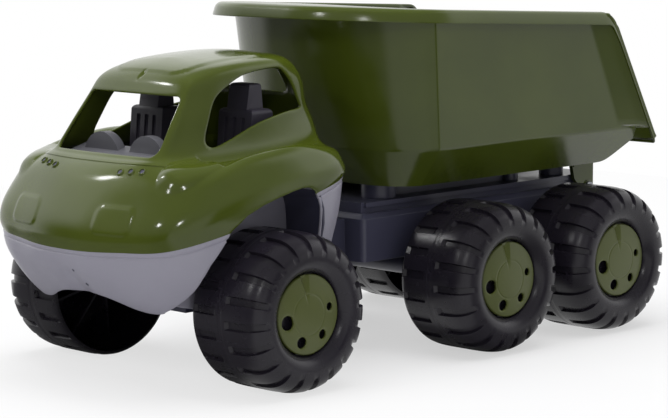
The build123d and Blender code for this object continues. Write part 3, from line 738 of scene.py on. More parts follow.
# The wheel arch: a band that follows the line from the inner edge out to the outer one, and the
# flat wall at its inner side. The band's part behind the wheel is a piece of its own, in the darker
# charcoal plastic.
def archShape(side):
    line, inner = np.array(arch["line"], float), arch["inner"]
    steps, closed = np.arange(len(line)), np.concatenate([line, arch["foot"]])

    def band(u, v):
        aft, z, outer = (np.interp(u, steps, values) for values in (*line.T, arch["outer"]))
        return np.stack([side * (inner + (outer - inner) * v), aft, z], axis=-1)

    def wall(u, v):
        return np.stack([np.full(u.shape, side * inner), u, v], axis=-1)

    def inside(points):
        return -outlineDistance(points[..., 1], points[..., 2], closed)

    split, across = arch["rearFrom"], np.linspace(0, 1, 8)
    sheets = [gridSheet(band, np.linspace(0, split, 72), across),
              gridSheet(wall, np.linspace(-84, 43.01, 70), np.linspace(55.9, 158, 60), inside),
              gridSheet(band, np.linspace(split, len(line) - 1, 44), across)]
    # The visible face looks into the arch, so the right side's sheets are turned round
    front, flat, rear = (thicken(*(flipped(weld(*sheet)) if side < 0 else weld(*sheet)), arch["wall"])
                         for sheet in sheets)
    return joinShapes(front, flat), rear


(leftArch, leftRearBand), (rightArch, rightRearBand) = (archShape(side) for side in sides.values())
makePiece("hullShell", joinShapes(thicken(*hullShape, hull["wall"]), leftArch, rightArch), plastic["grey"],
          "chassis", "grey_plastic", ("cab_hull",))
makePiece("archLinings", joinShapes(leftRearBand, rightRearBand), plastic["charcoal"], "chassis",
          "charcoal_plastic")
stage("hull made")


# A tyre is its turned profile with the radius taken down in the slots between the lugs. The
# profile is (x, radius) from the inner face round the tread to the cap's well, and the same
# wall's inner side back. Everything is for a left wheel at the middle of the truck.
tyre = {
    "lugs": 20, "slotShare": 0.36, "slotDepth": 2.5, "slotEdge": 0.04, "ringDepth": 0.2,
    # Where each band and the rings start and end, as x; the outer band also ends by the radius
    "innerBand": ((89.0, 90.2), (112.4, 113.6)), "outerBand": ((125.6, 126.6), (46.0, 55.0)),
    "rings": ((117.0, 117.8), (121.0, 121.8)), "ringsAbove": 60.0,
    "outer": [(86.5, 59.2), (86.7, 60.6), (88.0, 61.9), (92.0, 62.7), (100.0, 63.0), (112.0, 63.0),
              (124.0, 63.0), (134.0, 62.8), (142.0, 62.0), (148.5, 60.0), (153.5, 56.6), (156.4, 52.6),
              (157.6, 48.8), (158.0, 45.6), (157.9, 42.6), (157.2, 39.6), (155.6, 36.8), (153.2, 34.4),
              (150.6, 32.8), (148.4, 32.1)],
    "well": [(146.3, 32.1), (146.3, 20.0), (146.3, 3.05)],
    "bore": [(110.0, 3.05), (88.0, 3.05)],
    "inside": [(88.0, 8.0), (120.0, 8.6), (143.3, 9.0), (143.3, 34.9), (152.0, 38.0), (154.6, 44.0),
               (153.8, 49.0), (150.0, 54.0), (143.0, 57.6), (132.0, 59.4), (110.0, 59.8), (90.0, 59.6),
               (87.2, 59.4)],
    "ribs": 8, "ribThickness": 2.0,
    "rib": [(144.0, 8.2), (104.0, 8.2), (104.0, 13.0), (124.0, 59.9), (142.0, 58.2), (149.5, 53.5),
            (150.5, 40.0), (144.0, 36.0)],
}


# Points spread by shares of length on the smooth line through a few points
def alongLine(points, shares):
    knots = np.array(points, dtype=float)
    fine = splineMatrix(len(knots), np.linspace(0, len(knots) - 1, 800)) @ knots
    length = np.concatenate([[0.0], np.cumsum(np.linalg.norm(np.diff(fine, axis=0), axis=1))])
    return np.stack([np.interp(shares * length[-1], length, values) for values in fine.T], axis=1)


# How deep the tread is cut at a place: lugs alternate with slots round the wheel, in an inner
# band of short ones and an outer band of long ones that fades on the shoulder. Two rings run
# between the bands.
def treadDepth(x, radius, angle):
    share, edge = tyre["slotShare"], tyre["slotEdge"]

    def slot(phase):
        turn = (angle / (2 * np.pi) * tyre["lugs"] + phase) % 1.0
        return smoothStep(0.0, edge, turn) * (1 - smoothStep(share - edge, share, turn))

    inner, rings = (smoothStep(*start, x) * (1 - smoothStep(*end, x)) for start, end in
                    (tyre["innerBand"], tyre["rings"]))
    outerStart, outerEnd = tyre["outerBand"]
    outer = smoothStep(*outerStart, x) * smoothStep(*outerEnd, radius)
    return (tyre["slotDepth"] * (inner * slot(0.5) + outer * slot(0.0))
            + tyre["ringDepth"] * rings * (radius > tyre["ringsAbove"]))


# The tyre is its profile turned, with the outer side moved in along its normal by the tread's
# depth, so a cut goes in square to the surface from the tread round to the shoulder
def tyreShape():
    shares = np.concatenate([np.linspace(0, 1, 48), np.linspace(0.235, 0.385, 30)])
    outer = alongLine(tyre["outer"], np.sort(shares))
    profile = np.concatenate([outer, tyre["well"], tyre["bore"], tyre["inside"]])
    share, edge = tyre["slotShare"], tyre["slotEdge"]
    half = edge / 2
    # Columns stand close together at the slots' edges, for both bands of lugs
    pattern = np.concatenate([[0, half, edge, share / 2, share - edge, share - half, share],
                              np.linspace(share, 0.5, 4), [0.5, 0.5 + half, 0.5 + edge],
                              [0.5 + share / 2, 0.5 - edge + share, 0.5 - half + share, 0.5 + share],
                              np.linspace(0.5 + share, 1.0, 4)])
    pattern = np.unique(np.round(pattern, 4))[:-1]
    angles = (np.arange(tyre["lugs"])[:, None] + pattern[None, :]).ravel() / tyre["lugs"] * 2 * np.pi
    x = np.broadcast_to(profile[:, 0], (len(angles), len(profile)))
    radius = np.broadcast_to(profile[:, 1], x.shape)
    tangent, end = np.gradient(outer, axis=0), len(outer)
    normal = np.zeros(profile.shape)
    normal[:end] = np.stack([-tangent[:, 1], tangent[:, 0]], axis=1)
    normal[:end] /= np.linalg.norm(normal[:end], axis=1, keepdims=True)
    depth = np.zeros(x.shape)
    depth[:, :end] = treadDepth(x[:, :end], radius[:, :end], angles[:, None])
    return turnedGrid(x - normal[:, 0] * depth, radius - normal[:, 1] * depth, angles)


# Thin ribs stand inside the open back of the wheel, from the boss to the tread: flat plates
# with one outline, each in a plane through the axle
def ribShape():
    outline = np.array(tyre["rib"])
    half, count = tyre["ribThickness"] / 2, len(outline)
    ring = np.arange(count)
    following = np.roll(ring, -1)
    edges = np.stack([ring, following, following + count, ring + count], axis=1)
    fan = np.stack([np.zeros(count - 2, dtype=int), ring[1:-1], ring[2:]], axis=1)
    shapes = []
    for angle in 2 * np.pi * (np.arange(tyre["ribs"]) + 0.5) / tyre["ribs"]:
        radial, across = np.array([[0, np.cos(angle), np.sin(angle)], [0, -np.sin(angle), np.cos(angle)]])
        base = outline[:, :1] * (1, 0, 0) + outline[:, 1:] * radial
        points = np.concatenate([base - across * half, base + across * half])
        shapes.append((points, edges, np.concatenate([fan[:, ::-1], fan + count])))
    return joinShapes(*shapes)


# Puts a form made for one wheel on all six. A right wheel is a left one turned about the
# upright, so both sides come from one mould.
def onEachWheel(form, ending, node, material, slotName, **settings):
    for sideName, side in sides.items():
        for rowName, aft in wheelRows.items():
            wheel, name = f"{sideName}_{rowName}", f"{sideName}{rowName.capitalize()}{ending}"
            placed = (form[0] * (side, side, 1.0) + (0.0, aft, axleHeight), *form[1:])
            makePiece(name, placed, material, f"{wheel}_wheel", slotName, (f"{wheel}_{node}",), **settings)


onEachWheel(joinShapes(tyreShape(), ribShape()), "Tyre", "tyre", plastic["tyre"], "wheel_plastic",
            sharpAngle=30.0, weldFirst=False)
stage("tyres made")


# The bed: its shell follows outlines that are U shapes with round front corners. Each level of
# the table is height, half width, front edge and the corner's reach across and along, and levels
# are joined straight, with a small rounding at each crease.
bed = {
    "levels": [(139.8, 89.0, 164.0, 38.0, 30.0), (171.5, 112.0, 145.5, 70.0, 50.0),
               (297.0, 117.4, 118.0, 104.0, 70.0)],
    "crease": 1.6, "wall": 2.8, "rimHeight": 292.2, "rimSlope": 0.054, "rimFront": 100.0,
    "rimWide": 125.0, "rimNose": 93.0, "rimCorner": 100.0, "rimSkirt": 11.3, "rimReach": 9.8,
    "rimSkin": 2.5, "rampStart": 424.0, "rampSlope": 0.885, "rampBend": 3.0, "lipDrop": 5.0,
    "footAft": 458.0, "footHeight": 158.0, "endLean": 0.5254,
    # The walls flare out towards the open end from a line: its aft at a height, and its lean
    "flareAft": 372.9, "flareHeight": 266.7, "flareLean": 0.471, "flareLate": 24.0, "facet": 0.86,
    "facetEnd": 0.6, "breakTurn": 25.0, "bandWidth": 5.2, "topCorner": 21.0, "footCorner": 3.5,
    # The shell stays this far inside the rim: below its top, before its end, in its corner and side
    "underRim": 1.3, "beforeEnd": 0.8, "insideCorner": 1.6, "insideRim": 1.2,
    # The rim slims towards the tail between two places, and reaches farther in along the front
    "slim": (386.0, 412.0), "slimReach": 3.0, "frontReach": 21.0, "frontBefore": 300.0,
}


# Reads one column of the levels at a height, averaged over a short way so that creases round
def levelValue(z, column):
    heights = np.array([level[0] for level in bed["levels"]])
    values = np.array([level[column] for level in bed["levels"]])
    slopes = np.diff(values) / np.diff(heights)
    total = np.zeros(np.shape(z))
    for offset in np.linspace(-1.0, 1.0, 9) * bed["crease"]:
        at = z + offset
        low = values[0] + (at - heights[0]) * slopes[0]
        high = values[1] + (at - heights[1]) * slopes[1]
        total += np.where(at < heights[1], low, high)
    return total / 9.0


# The rim's top falls towards the tail, and the open end leans forward as it rises
def rimTop(aft):
    return bed["rimHeight"] - bed["rimSlope"] * (aft - bed["rimFront"])


def endAft(z):
    return bed["footAft"] - (z - bed["footHeight"]) * bed["endLean"]


# The floor is level and then climbs to the lip; the bend is rounded like the creases
def floorHeight(aft):
    over = (aft - bed["rampStart"]) / bed["rampBend"]
    climb = bed["rampBend"] * np.log1p(np.exp(np.clip(over, -30, 30)))
    return bed["levels"][0][0] + bed["rampSlope"] * climb - bed["lipDrop"] * smoothStep(445.0, 456.0, aft)


# How far the wall has moved out, for a height and a distance aft: a flat facet first and then
# a hollow curve up to the band of the open end. Low down the flare is short and late.
def flare(z, aft):
    crease = bed["levels"][1][0]
    start = bed["flareAft"] + bed["flareLean"] * (bed["flareHeight"] - z)
    start = start + (1.0 - smoothStep(crease - 1.0, crease + 4.0, z)) * bed["flareLate"]
    run = np.maximum(endAft(z) - bed["bandWidth"] - start, 4.0)
    t = np.clip((aft - start) / run, 0.0, 1.0)
    reach = np.maximum(bed["rimWide"] - bed["insideRim"] - levelValue(z, 1), 0.0)
    curve = np.maximum(t - bed["facetEnd"], 0.0) / (1.0 - bed["facetEnd"])
    return reach * (bed["facet"] * t + (1.0 - bed["facet"]) * curve ** 2)


# Side view of the rim's top corner at the tail, where its line meets the leaning end line: the
# middle of the arc, its two ends, the two lines' directions and the angle between them
def tailCorner():
    along, fall = np.array([[1.0, -bed["rimSlope"]], [bed["endLean"], -1.0]])
    along, fall = along / np.linalg.norm(along), fall / np.linalg.norm(fall)
    heights = np.linspace(240, 300, 6001)
    meetZ = heights[np.argmin(np.abs(rimTop(endAft(heights)) - heights))]
    meet = np.array([endAft(meetZ), meetZ])
    bend = np.arccos(along @ fall)
    back = bed["topCorner"] * np.tan(bend / 2)
    arcStart, arcEnd = meet - along * back, meet + fall * back
    hub = arcStart + np.array([along[1], -along[0]]) * bed["topCorner"]
    return hub, arcStart, arcEnd, along, fall, bend


# Places on the shell: u runs round the U from the left end (0) by the corner (1 to 2), the
# front (2 to 3) and the right corner (3 to 4) to the right end (5). v climbs from the floor's
# edge (0) to the crease (1) and on to the rim (2). A corner is a quarter of an ellipse, but the
# side runs on flat past its start and then turns in at once, by a fifth power. The outline
# depends on the height and the height on the place aft, so both are worked out in turns.
def bedWall(u, v):
    z = np.full(u.shape, 200.0)
    fromFront = np.where(u <= 2.5, u, 5.0 - u)
    along = np.clip(fromFront, 0.0, 1.0)
    turn = np.clip(fromFront - 1.0, 0.0, 1.0) * np.pi / 2
    front, crease = 1.0 - 2.0 * np.clip(u - 2.0, 0.0, 1.0), bed["levels"][1][0]
    for _ in range(12):
        wide, nose, across, back = (levelValue(z, column) for column in (1, 2, 3, 4))
        begin = np.arctan(np.tan(np.radians(bed["breakTurn"])) * back / across)
        share = np.clip(turn / begin, 0.0, 1.0)
        bendX = across * (1.0 - np.cos(begin))
        bendDepth = back * np.sin(begin) - bendX * back / across / np.tan(begin)
        first, last = (1.0 - share) ** 5, share ** 5
        broken = share < 1.0
        halfX = np.where(broken, wide - last * bendX, wide - across + across * np.cos(turn))
        brokenDepth = (1.0 - first - last) * bendDepth + last * back * np.sin(begin)
        depth = np.where(broken, brokenDepth, back * np.sin(turn))
        halfX = np.where(along < 1.0, wide, halfX)
        x = np.where((u > 2.0) & (u < 3.0), (wide - across) * front, np.where(u <= 2.5, halfX, -halfX))
        sideStart, end = nose + back, endAft(z) - bed["beforeEnd"]
        aft = np.where(along < 1.0, end + (sideStart - end) * along, sideStart - depth)
        low, top = floorHeight(aft), rimTop(aft) - bed["underRim"]
        z = np.where(v <= 1.0, low + (crease - low) * v, crease + (top - crease) * (v - 1.0))
    out = np.where(along < 1.0, flare(z, aft), 0.0)
    # The shell's top corner at the tail stays inside the rim's round one
    hub, _, _, run, fall, _ = tailCorner()
    overAft, overUp = aft - hub[0], z - hub[1]
    away, inside = np.maximum(np.hypot(overAft, overUp), 1.0), bed["topCorner"] - bed["insideCorner"]
    behind, above = overAft * run[0] + overUp * run[1] > 0, overAft * fall[0] + overUp * fall[1] < 0
    pull = np.where(behind & above & (away > inside), inside / away, 1.0)
    return np.stack([x + np.sign(x) * out, hub[0] + overAft * pull, hub[1] + overUp * pull], axis=-1)


# The floor fills in from the wall's foot to the middle line
def bedFloor(u, v):
    edge = bedWall(np.where(v < 0, u, 5.0 - u), np.zeros(u.shape))
    return np.stack([edge[..., 0] * np.abs(v), edge[..., 1], floorHeight(edge[..., 1])], axis=-1)


halfRows = spread(0.0, (0.05, 7), (0.42, 43), (1.0, 15), (1.16, 17), (2.0, 29))
# The front's columns meet the floor's, so that the two sheets share their points
aroundBed = np.concatenate([halfRows, np.linspace(2.0, 3.0, 43)[1:-1], 5.0 - halfRows[::-1]])
upBed = spread(0.0, (0.9, 11), (1.0, 6), (1.03, 6), (2.0, 33))
acrossFloor = spread(-1.0, (0.0, 21), (1.0, 21))
# Both sheets face outwards: the wall away from the middle and the floor down
bedSheet = joinShapes(flipped(gridSheet(bedWall, aroundBed, upBed)),
                      gridSheet(bedFloor, halfRows[halfRows <= 2.0], acrossFloor))
bedShell = thicken(*weld(*bedSheet, nearness=0.02), bed["wall"], 0.2)


# The rim's section carried along a path. The section is an L: its corners are distances inward
# and downward at each step, and each is rounded by a curve that is a weighed mean of its start,
# the corner and its end. The path gives places and the outward and downward directions.
def carried(places, outward, downward, reach, depth, skin):
    steps = len(places)
    corners = [(3.4, 0.0, 5.5), (0.0, depth, 1.1), (skin, depth, 1.1), (skin, skin, 1.6),
               (reach, skin, 0.8), (reach, 0.0, 1.2)]
    ends = [np.stack([np.broadcast_to(value, steps) for value in corner[:2]], axis=1) for corner in corners]
    ring = []
    for number, (corner, (*_, rounding)) in enumerate(zip(ends, corners)):
        toBefore, toAfter = ends[number - 1] - corner, ends[(number + 1) % len(ends)] - corner
        before, after = (np.linalg.norm(way, axis=1, keepdims=True) for way in (toBefore, toAfter))
        cut = np.minimum(rounding, 0.48 * np.minimum(before, after))
        start, finish = corner + toBefore / before * cut, corner + toAfter / after * cut
        for t in np.linspace(0.0, 1.0, 6):
            ring.append((1 - t) ** 2 * start + 2 * t * (1 - t) * corner + t ** 2 * finish)
    ring = np.stack(ring, axis=1)
    points = places[:, None, :] - outward[:, None, :] * ring[..., :1] + downward[:, None, :] * ring[..., 1:]
    return points.reshape(-1, 3), gridQuads(*points.shape[:2], closedV=True), noTriangles


# The rim's left half: from the middle of the front round the corner, along the side, down the
# open end and in along the lip, each piece straight or a circular arc
def rimPath():
    wide, nose, corner, foot = (bed[key] for key in ("rimWide", "rimNose", "rimCorner", "footCorner"))
    left, forward, under = np.array([1.0, 0.0, 0.0]), np.array([0.0, -1.0, 0.0]), np.array([0.0, 0.0, -1.0])
    path = []

    def put(points, out, down):
        path.append([np.broadcast_to(values, points.shape) for values in (points, out, down)])

    def straight(start, finish, count):
        return start + (finish - start) * np.linspace(0.0, 1.0, count)[:-1, None]

    put(straight(np.array([0.0, nose, rimTop(nose)]), np.array([wide - corner, nose, rimTop(nose)]), 12),
        forward, under)
    turn = np.linspace(0.0, np.pi / 2, 40)[:-1, None]
    out = left * np.sin(turn) + forward * np.cos(turn)
    arc = np.array([wide - corner, nose + corner, 0.0]) + out * corner
    arc[:, 2] = rimTop(arc[:, 1])
    put(arc, out, under)
    hub, arcStart, arcEnd, along, fall, bend = tailCorner()
    side = np.array([wide, nose + corner, rimTop(nose + corner)])
    put(straight(side, np.array([wide, *arcStart]), 30), left, under)
    angle = np.linspace(0.0, bend, 16)[:-1, None]
    spoke = np.array([-along[1], along[0]]) * np.cos(angle) + along * np.sin(angle)
    put(np.insert(hub + spoke * bed["topCorner"], 0, wide, axis=1), left, np.insert(-spoke, 0, 0.0, axis=1))
    inward = np.array([0.0, -1.0, -bed["endLean"]])
    inward /= np.linalg.norm(inward)
    low = bed["footHeight"] + foot
    finish = np.array([wide, endAft(low), low])
    put(straight(np.array([wide, *arcEnd]), finish, 30), left, inward)
    turn = np.linspace(0.0, np.pi / 2, 14)[:-1, None]
    lean = np.array([0.0, *fall])
    out = np.cos(turn) * left + np.sin(turn) * lean
    centre = finish - left * foot
    put(centre + out * foot, out, inward)
    t = np.linspace(0.0, 1.0, 20)[:, None]
    put((centre + lean * foot) * np.where(left > 0, 1.0 - t, 1.0), lean, inward)
    return [np.concatenate(rows) for rows in zip(*path)]


# The rim's L is full size along the top and slims to a band on the open end, and it reaches
# farther in where it faces forward
def rimShape():
    places, outward, downward = rimPath()
    aft, band, slim = places[:, 1], bed["bandWidth"] + 0.3, bed["slimReach"]
    topShare = 1.0 - smoothStep(*bed["slim"], aft)
    facing = np.maximum(-outward[:, 1], 0.0) ** 1.5 * (aft < bed["frontBefore"])
    reach = slim + (bed["rimReach"] - slim) * topShare + bed["frontReach"] * facing
    depth = band + (bed["rimSkirt"] - band) * topShare
    half = carried(places, outward, downward, reach, depth, bed["rimSkin"])
    return weld(*joinShapes(half, mirrored(half)))


# Hinge lugs under the tail: flat plates with three slots at the top and a raised ring at the
# pin, which is (inner radius, outer radius, height)
lug = {
    "inner": 63.0, "thick": 4.0, "pin": (427.5, 114.5), "ring": (5.4, 6.6, 0.9),
    "outline": [(405, 141), (406.6, 141), (406.9, 134.5), (408.7, 134.5), (408.9, 141), (419.0, 141),
                (419.3, 135.5), (421.0, 135.5), (421.2, 141), (430.4, 141), (430.6, 136), (432.0, 136),
                (432.2, 141), (435, 141), (434.6, 114.5), (432.5, 109.5), (427.5, 107.5), (422.5, 109.5),
                (420.5, 114.5), (414.0, 118.5), (409, 124)],
}


# A flat plate of any outline, from one x to another, with its two faces filled by ear cutting
def plate(outline, near, far):
    outline = np.array(outline, dtype=float)
    faces = np.array(tessellate_polygon([[Vector((*corner, 0.0)) for corner in outline]]))
    points = np.concatenate([np.insert(outline, 0, x, axis=1) for x in (near, far)])
    count = len(outline)
    ring, following = np.arange(count), np.roll(np.arange(count), -1)
    walls = np.stack([ring, following, following + count, ring + count], axis=1)
    after = outline[following]
    if (np.sum(outline[:, 0] * after[:, 1] - after[:, 0] * outline[:, 1]) > 0) == (far > near):
        walls = walls[:, ::-1]
    first, second = (outline[faces[:, k]] - outline[faces[:, 0]] for k in (1, 2))
    turning = first[:, 0] * second[:, 1] - first[:, 1] * second[:, 0] > 0
    faces = np.where((turning == (far > near))[:, None], faces[:, ::-1], faces)
    return points, walls, np.concatenate([faces, faces[:, ::-1] + count])


# A lug is a plate with a ring turned round the pin's axis on its outer face
def lugShape(side):
    near, far = side * lug["inner"], side * (lug["inner"] + lug["thick"])
    inner, outer, proud = lug["ring"]
    section = [(-0.5, inner), (proud * 0.8, inner), (proud, inner + 0.3), (proud, outer - 0.3),
               (proud * 0.8, outer), (-0.5, outer)]
    ring = turned([(far + side * out, radius) for out, radius in section], 40)
    ring = (ring[0] + (0.0, *lug["pin"]), *ring[1:])
    return joinShapes(plate(lug["outline"], near, far), ring if side > 0 else flipped(ring))


makePiece("bedShell", joinShapes(bedShell, rimShape()), plastic["bed"], "tipper", "green_plastic",
          ("tipper_bed",), sharpAngle=28.0)
makePiece("hingeLugs", joinShapes(lugShape(1), lugShape(-1)), plastic["bed"], "tipper", "green_plastic",
          sharpAngle=30.0)
stage("bed made")


# A hub cap is a slightly domed plate with four holes that grow round it and a notch cut from
# the rim towards the middle: a steep wall on one side and a long gentle ramp on the other.
# Angles turn from the tail by the top; lengths along the axle are from the truck's middle.
hubCap = {
    "face": 151.4, "dome": 2.0, "radius": 31.4, "wall": 2.2, "edge": 0.7,
    "holes": [(190, 5.9), (250, 4.7), (310, 3.9), (10, 3.3)], "holeCircle": 22.3, "lip": 0.35,
    "lipWidth": 0.9, "ring": 16.0, "ringDepth": 0.25, "ringWidth": 0.6,
    "notch": {"angle": 100.0, "start": 9.0, "depth": 2.0, "wall": 2.6, "ramp": 12.0},
    "skirt": [(146.5, 29.3), (150.4, 29.3), (150.4, 31.3), (146.5, 31.3)],
}


# Distances from a place on the cap to the edge of each hole
def holeDistances(along, up):
    for angle, size in hubCap["holes"]:
        turn = np.radians(angle)
        middle = hubCap["holeCircle"] * np.cos(turn), hubCap["holeCircle"] * np.sin(turn)
        yield np.hypot(along - middle[0], up - middle[1]) - size


# The cap's height is a parabola that falls off at the rim, less a shallow ring, the notch and
# the dip inside each hole's collar
def capSurface(degrees, radius):
    notch, angle, full = hubCap["notch"], np.radians(degrees), hubCap["radius"]
    along, up = radius * np.cos(angle), radius * np.sin(angle)
    height = hubCap["face"] + hubCap["dome"] * (1 - (radius / full) ** 2)
    height -= hubCap["edge"] * smoothStep(full - 1.0, full, radius) ** 2
    height -= hubCap["ringDepth"] * np.exp(-((radius - hubCap["ring"]) / hubCap["ringWidth"]) ** 2)
    deep = notch["depth"] * np.clip((radius - notch["start"]) / (full - notch["start"]), 0, 1)
    turn = (degrees - notch["angle"] + 180.0) % 360.0 - 180.0
    aside = radius * np.sin(np.radians(turn))
    wallWidth = notch["wall"] * radius / full + 0.05
    rampWidth = radius * np.sin(np.radians(notch["ramp"])) + 0.05
    share = np.where(aside > 0, 1 - aside / wallWidth, 1 + aside / rampWidth)
    height -= deep * np.clip(share, 0, 1) * (np.abs(turn) < 60)
    for away in holeDistances(along, up):
        height -= hubCap["lip"] * (1 - smoothStep(0.0, hubCap["lipWidth"], away))
    return np.stack([height, along, up], axis=-1)


# Positive outside the holes
def capKeep(points):
    return np.min([np.full(points.shape[:-1], farOff), *holeDistances(points[..., 1], points[..., 2])],
                  axis=0)


def capShape():
    notch, full = hubCap["notch"]["angle"], hubCap["radius"]
    # Rows stand close at the notch, and rings at the shallow ring, the holes and the rim
    degrees = np.concatenate([np.arange(0, 360, 3.0), np.arange(notch - 14, notch + 7.01, 0.7)])
    radii = spread(0.0, (14.5, 6), (15.0, 1), (17.0, 5), (17.7, 1), (30.2, 21), (30.6, 1), (full, 4))
    face = weld(*gridSheet(capSurface, np.unique(np.round(degrees, 3)), radii, capKeep, closedU=True))
    if faceNormals(*face[:2])[:, 0].mean() < 0:
        face = flipped(face)
    return joinShapes(thicken(*face, hubCap["wall"], 0.2), turned(hubCap["skirt"], 90))


onEachWheel(capShape(), "Cap", "hub_cap", plastic["cap"], "cap_green_plastic", sharpAngle=24.0)
stage("caps made")


# Turns a profile that stands along x so that it stands along a normal, at a place
def stood(profile, cells, place, normal):
    points, quads, triangles = turned(profile, cells)
    axis = np.array(normal, float) / np.linalg.norm(normal)
    first = np.cross((0.0, 0.0, 1.0), axis)
    first /= np.linalg.norm(first)
    return points @ np.stack([axis, first, np.cross(axis, first)]) + place, quads, triangles


# Three round vents stand at each side of the bonnet, each a low collar with a dark disc in it that is
# painted shade in place of the hole, and two small holes stand one over the other on the hull's nose, each
# only a dark disc,
# also painted shade: place, normal and radius
vents = {
    "places": [((40.8, -92.6, 172.9), (0.08, -0.68, 0.73)), ((51.2, -90.4, 173.9), (0.1, -0.68, 0.73)),
               ((61.6, -87.6, 174.4), (0.15, -0.67, 0.73))],
    "collar": [(-0.8, 2.1), (0.35, 2.1), (0.75, 2.3), (0.85, 2.6), (0.7, 2.95), (0.2, 3.3), (-0.8, 3.6)],
    "cup": [(-0.7, 0.0), (0.12, 0.0), (0.12, 2.2), (-0.7, 2.2)],
    "noseHoles": [((8.6, -115.2, 95.9), (0.0, -0.86, -0.52), 1.2),
                  ((15.2, -107.1, 84.6), (0.0, -0.76, -0.66), 1.6)],
}
collars, holeShades = [], []
for place, normal in vents["places"]:
    for side in sides.values():
        at, out = np.array(place) * (side, 1, 1), np.array(normal) * (side, 1, 1)
        collars.append(stood(vents["collar"], 36, at, out))
        holeShades.append(stood(vents["cup"], 36, at, out))
for place, normal, size in vents["noseHoles"]:
    holeShades.append(stood([(-1.2, 0.0), (0.15, 0.0), (0.15, size), (-1.2, size)], 24, place, normal))
makePiece("ventCollars", joinShapes(*collars), plastic["green"], "chassis", "green_plastic")
# The dark discs are painted shade: neither the vents nor the nose holes are cut into the skin
makePiece("ventCups", joinShapes(*holeShades), plastic["charcoal"], "chassis", "charcoal_plastic")


# Parts of the first model whose edges are softened as a mould leaves them: each one's plastic,
# the rounding's width and its segments. The front of the frame's side boxes also moves back.
softened = {
    "chassis_frame": ("charcoal", 0.9, 3), "axle_tubes": ("charcoal", 0.4, 2),
    "bed_posts": ("charcoal", 0.4, 2), "interior_floor": ("charcoal", 0.5, 2),
    "dashboard": ("dash", 1.4, 3), "driver_seat": ("seat", 2.4, 4), "passenger_seat": ("seat", 2.4, 4),
}
frameFront = {"from": 115.0, "to": 133.0, "moved": 19.0}


# The mesh is a copy: its doubled points are joined and its flat faces made whole before its
# edges are rounded by a bevel
def softenedCopy(nodeName, finish, width, segments):
    node = bpy.data.objects[nodeName]
    mesh = node.data.copy()
    mesh.transform(node.matrix_world)
    work = bmesh.new()
    work.from_mesh(mesh)
    bmesh.ops.remove_doubles(work, verts=work.verts, dist=1e-6)
    if nodeName == "chassis_frame":
        for point in work.verts:
            aft = (point.co.y - frontAxleY) * 1000.0
            if frameFront["from"] < aft < frameFront["to"]:
                point.co.y += frameFront["moved"] * 0.001
    bmesh.ops.dissolve_limit(work, angle_limit=np.radians(0.6), verts=work.verts, edges=work.edges)
    work.to_mesh(mesh)
    work.free()
    mesh.materials.clear()
    mesh.materials.append(plastic[finish])
    piece = bpy.data.objects.new("soft" + nodeName.title().replace("_", ""), mesh)
    bpy.context.scene.collection.objects.link(piece)
    bevel = piece.modifiers.new("rounding", "BEVEL")
    bevel.width, bevel.segments = width * 0.001, segments
    bevel.limit_method, bevel.angle_limit = "ANGLE", np.radians(28)
    bevel.harden_normals = False
    mesh.shade_smooth()
    mesh.set_sharp_from_angle(angle=np.radians(32))
    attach(piece, "chassis")
    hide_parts(nodeName)


for nodeName, settings in softened.items():
    softenedCopy(nodeName, *settings)
stage("frame and cabin softened")


# Two long plates in the charcoal plastic stand on the frame under the bed and fill the gap between its
# posts
underBedPlate = {"near": 40.4, "far": 43.6,
            "outline": [(201.0, 123.0), (339.0, 123.0), (339.0, 138.8), (201.0, 138.8)]}
ribs = [plate(underBedPlate["outline"], side * underBedPlate["near"], side * underBedPlate["far"])
        for side in sides.values()]
makePiece("underRibs", joinShapes(*ribs), plastic["charcoal"], "chassis", "charcoal_plastic")
stage("ribs made")


# Degrees for the angles, metres for the place, millimetres for the lens and the film
cameraLook = {"place": (1.5197, -1.4436, 0.3950), "turn": 46.385, "pitch": 7.624, "roll": -0.657,
              "lens": 133.2, "film": 36.0, "farthest": 50.0}


def makeCamera(look):
    turn, pitch, roll = np.radians([look["turn"], look["pitch"], look["roll"]])
    forward = np.array([-np.sin(turn) * np.cos(pitch), np.cos(turn) * np.cos(pitch), -np.sin(pitch)])
    level = np.array([np.cos(turn), np.sin(turn), 0.0])
    upright = np.cross(level, forward)
    right = level * np.cos(roll) + upright * np.sin(roll)
    up = upright * np.cos(roll) - level * np.sin(roll)
    data = bpy.data.cameras.new("camera")
    data.lens, data.sensor_width, data.clip_end = look["lens"], look["film"], look["farthest"]
    camera = bpy.data.objects.new("camera", data)
    bpy.context.scene.collection.objects.link(camera)
    rows = np.column_stack([right, up, -forward, look["place"]])
    camera.matrix_world = Matrix([*rows.tolist(), [0.0, 0.0, 0.0, 1.0]])
    bpy.context.scene.camera = camera


makeCamera(cameraLook)

# Each lamp's place, target, side and watts. The big one stays out of the gloss, which has the
# room's ceiling instead.
lamps = {
    "overhead": ((-0.1, 0.1, 2.3), (0.0, 0.0, 0.1), 1.9, 56.0),
    "frontLamp": ((-0.25, -2.4, 1.7), (0.0, -0.1, 0.15), 0.22, 5.0),
    "sideLamp": ((1.7, -1.9, 1.5), (0.0, 0.0, 0.15), 0.22, 5.0),
    "rearLamp": ((-1.9, -1.1, 2.0), (0.0, 0.0, 0.15), 0.22, 4.0),
}
for lampName, (place, target, size, watts) in lamps.items():
    data = bpy.data.lights.new(lampName, "AREA")
    data.size, data.energy = size, watts
    lamp = bpy.data.objects.new(lampName, data)
    bpy.context.scene.collection.objects.link(lamp)
    lamp.location = place
    lamp.rotation_euler = (Vector(target) - Vector(place)).to_track_quat("-Z", "Y").to_euler()
    lamp.visible_glossy = lampName != "overhead"

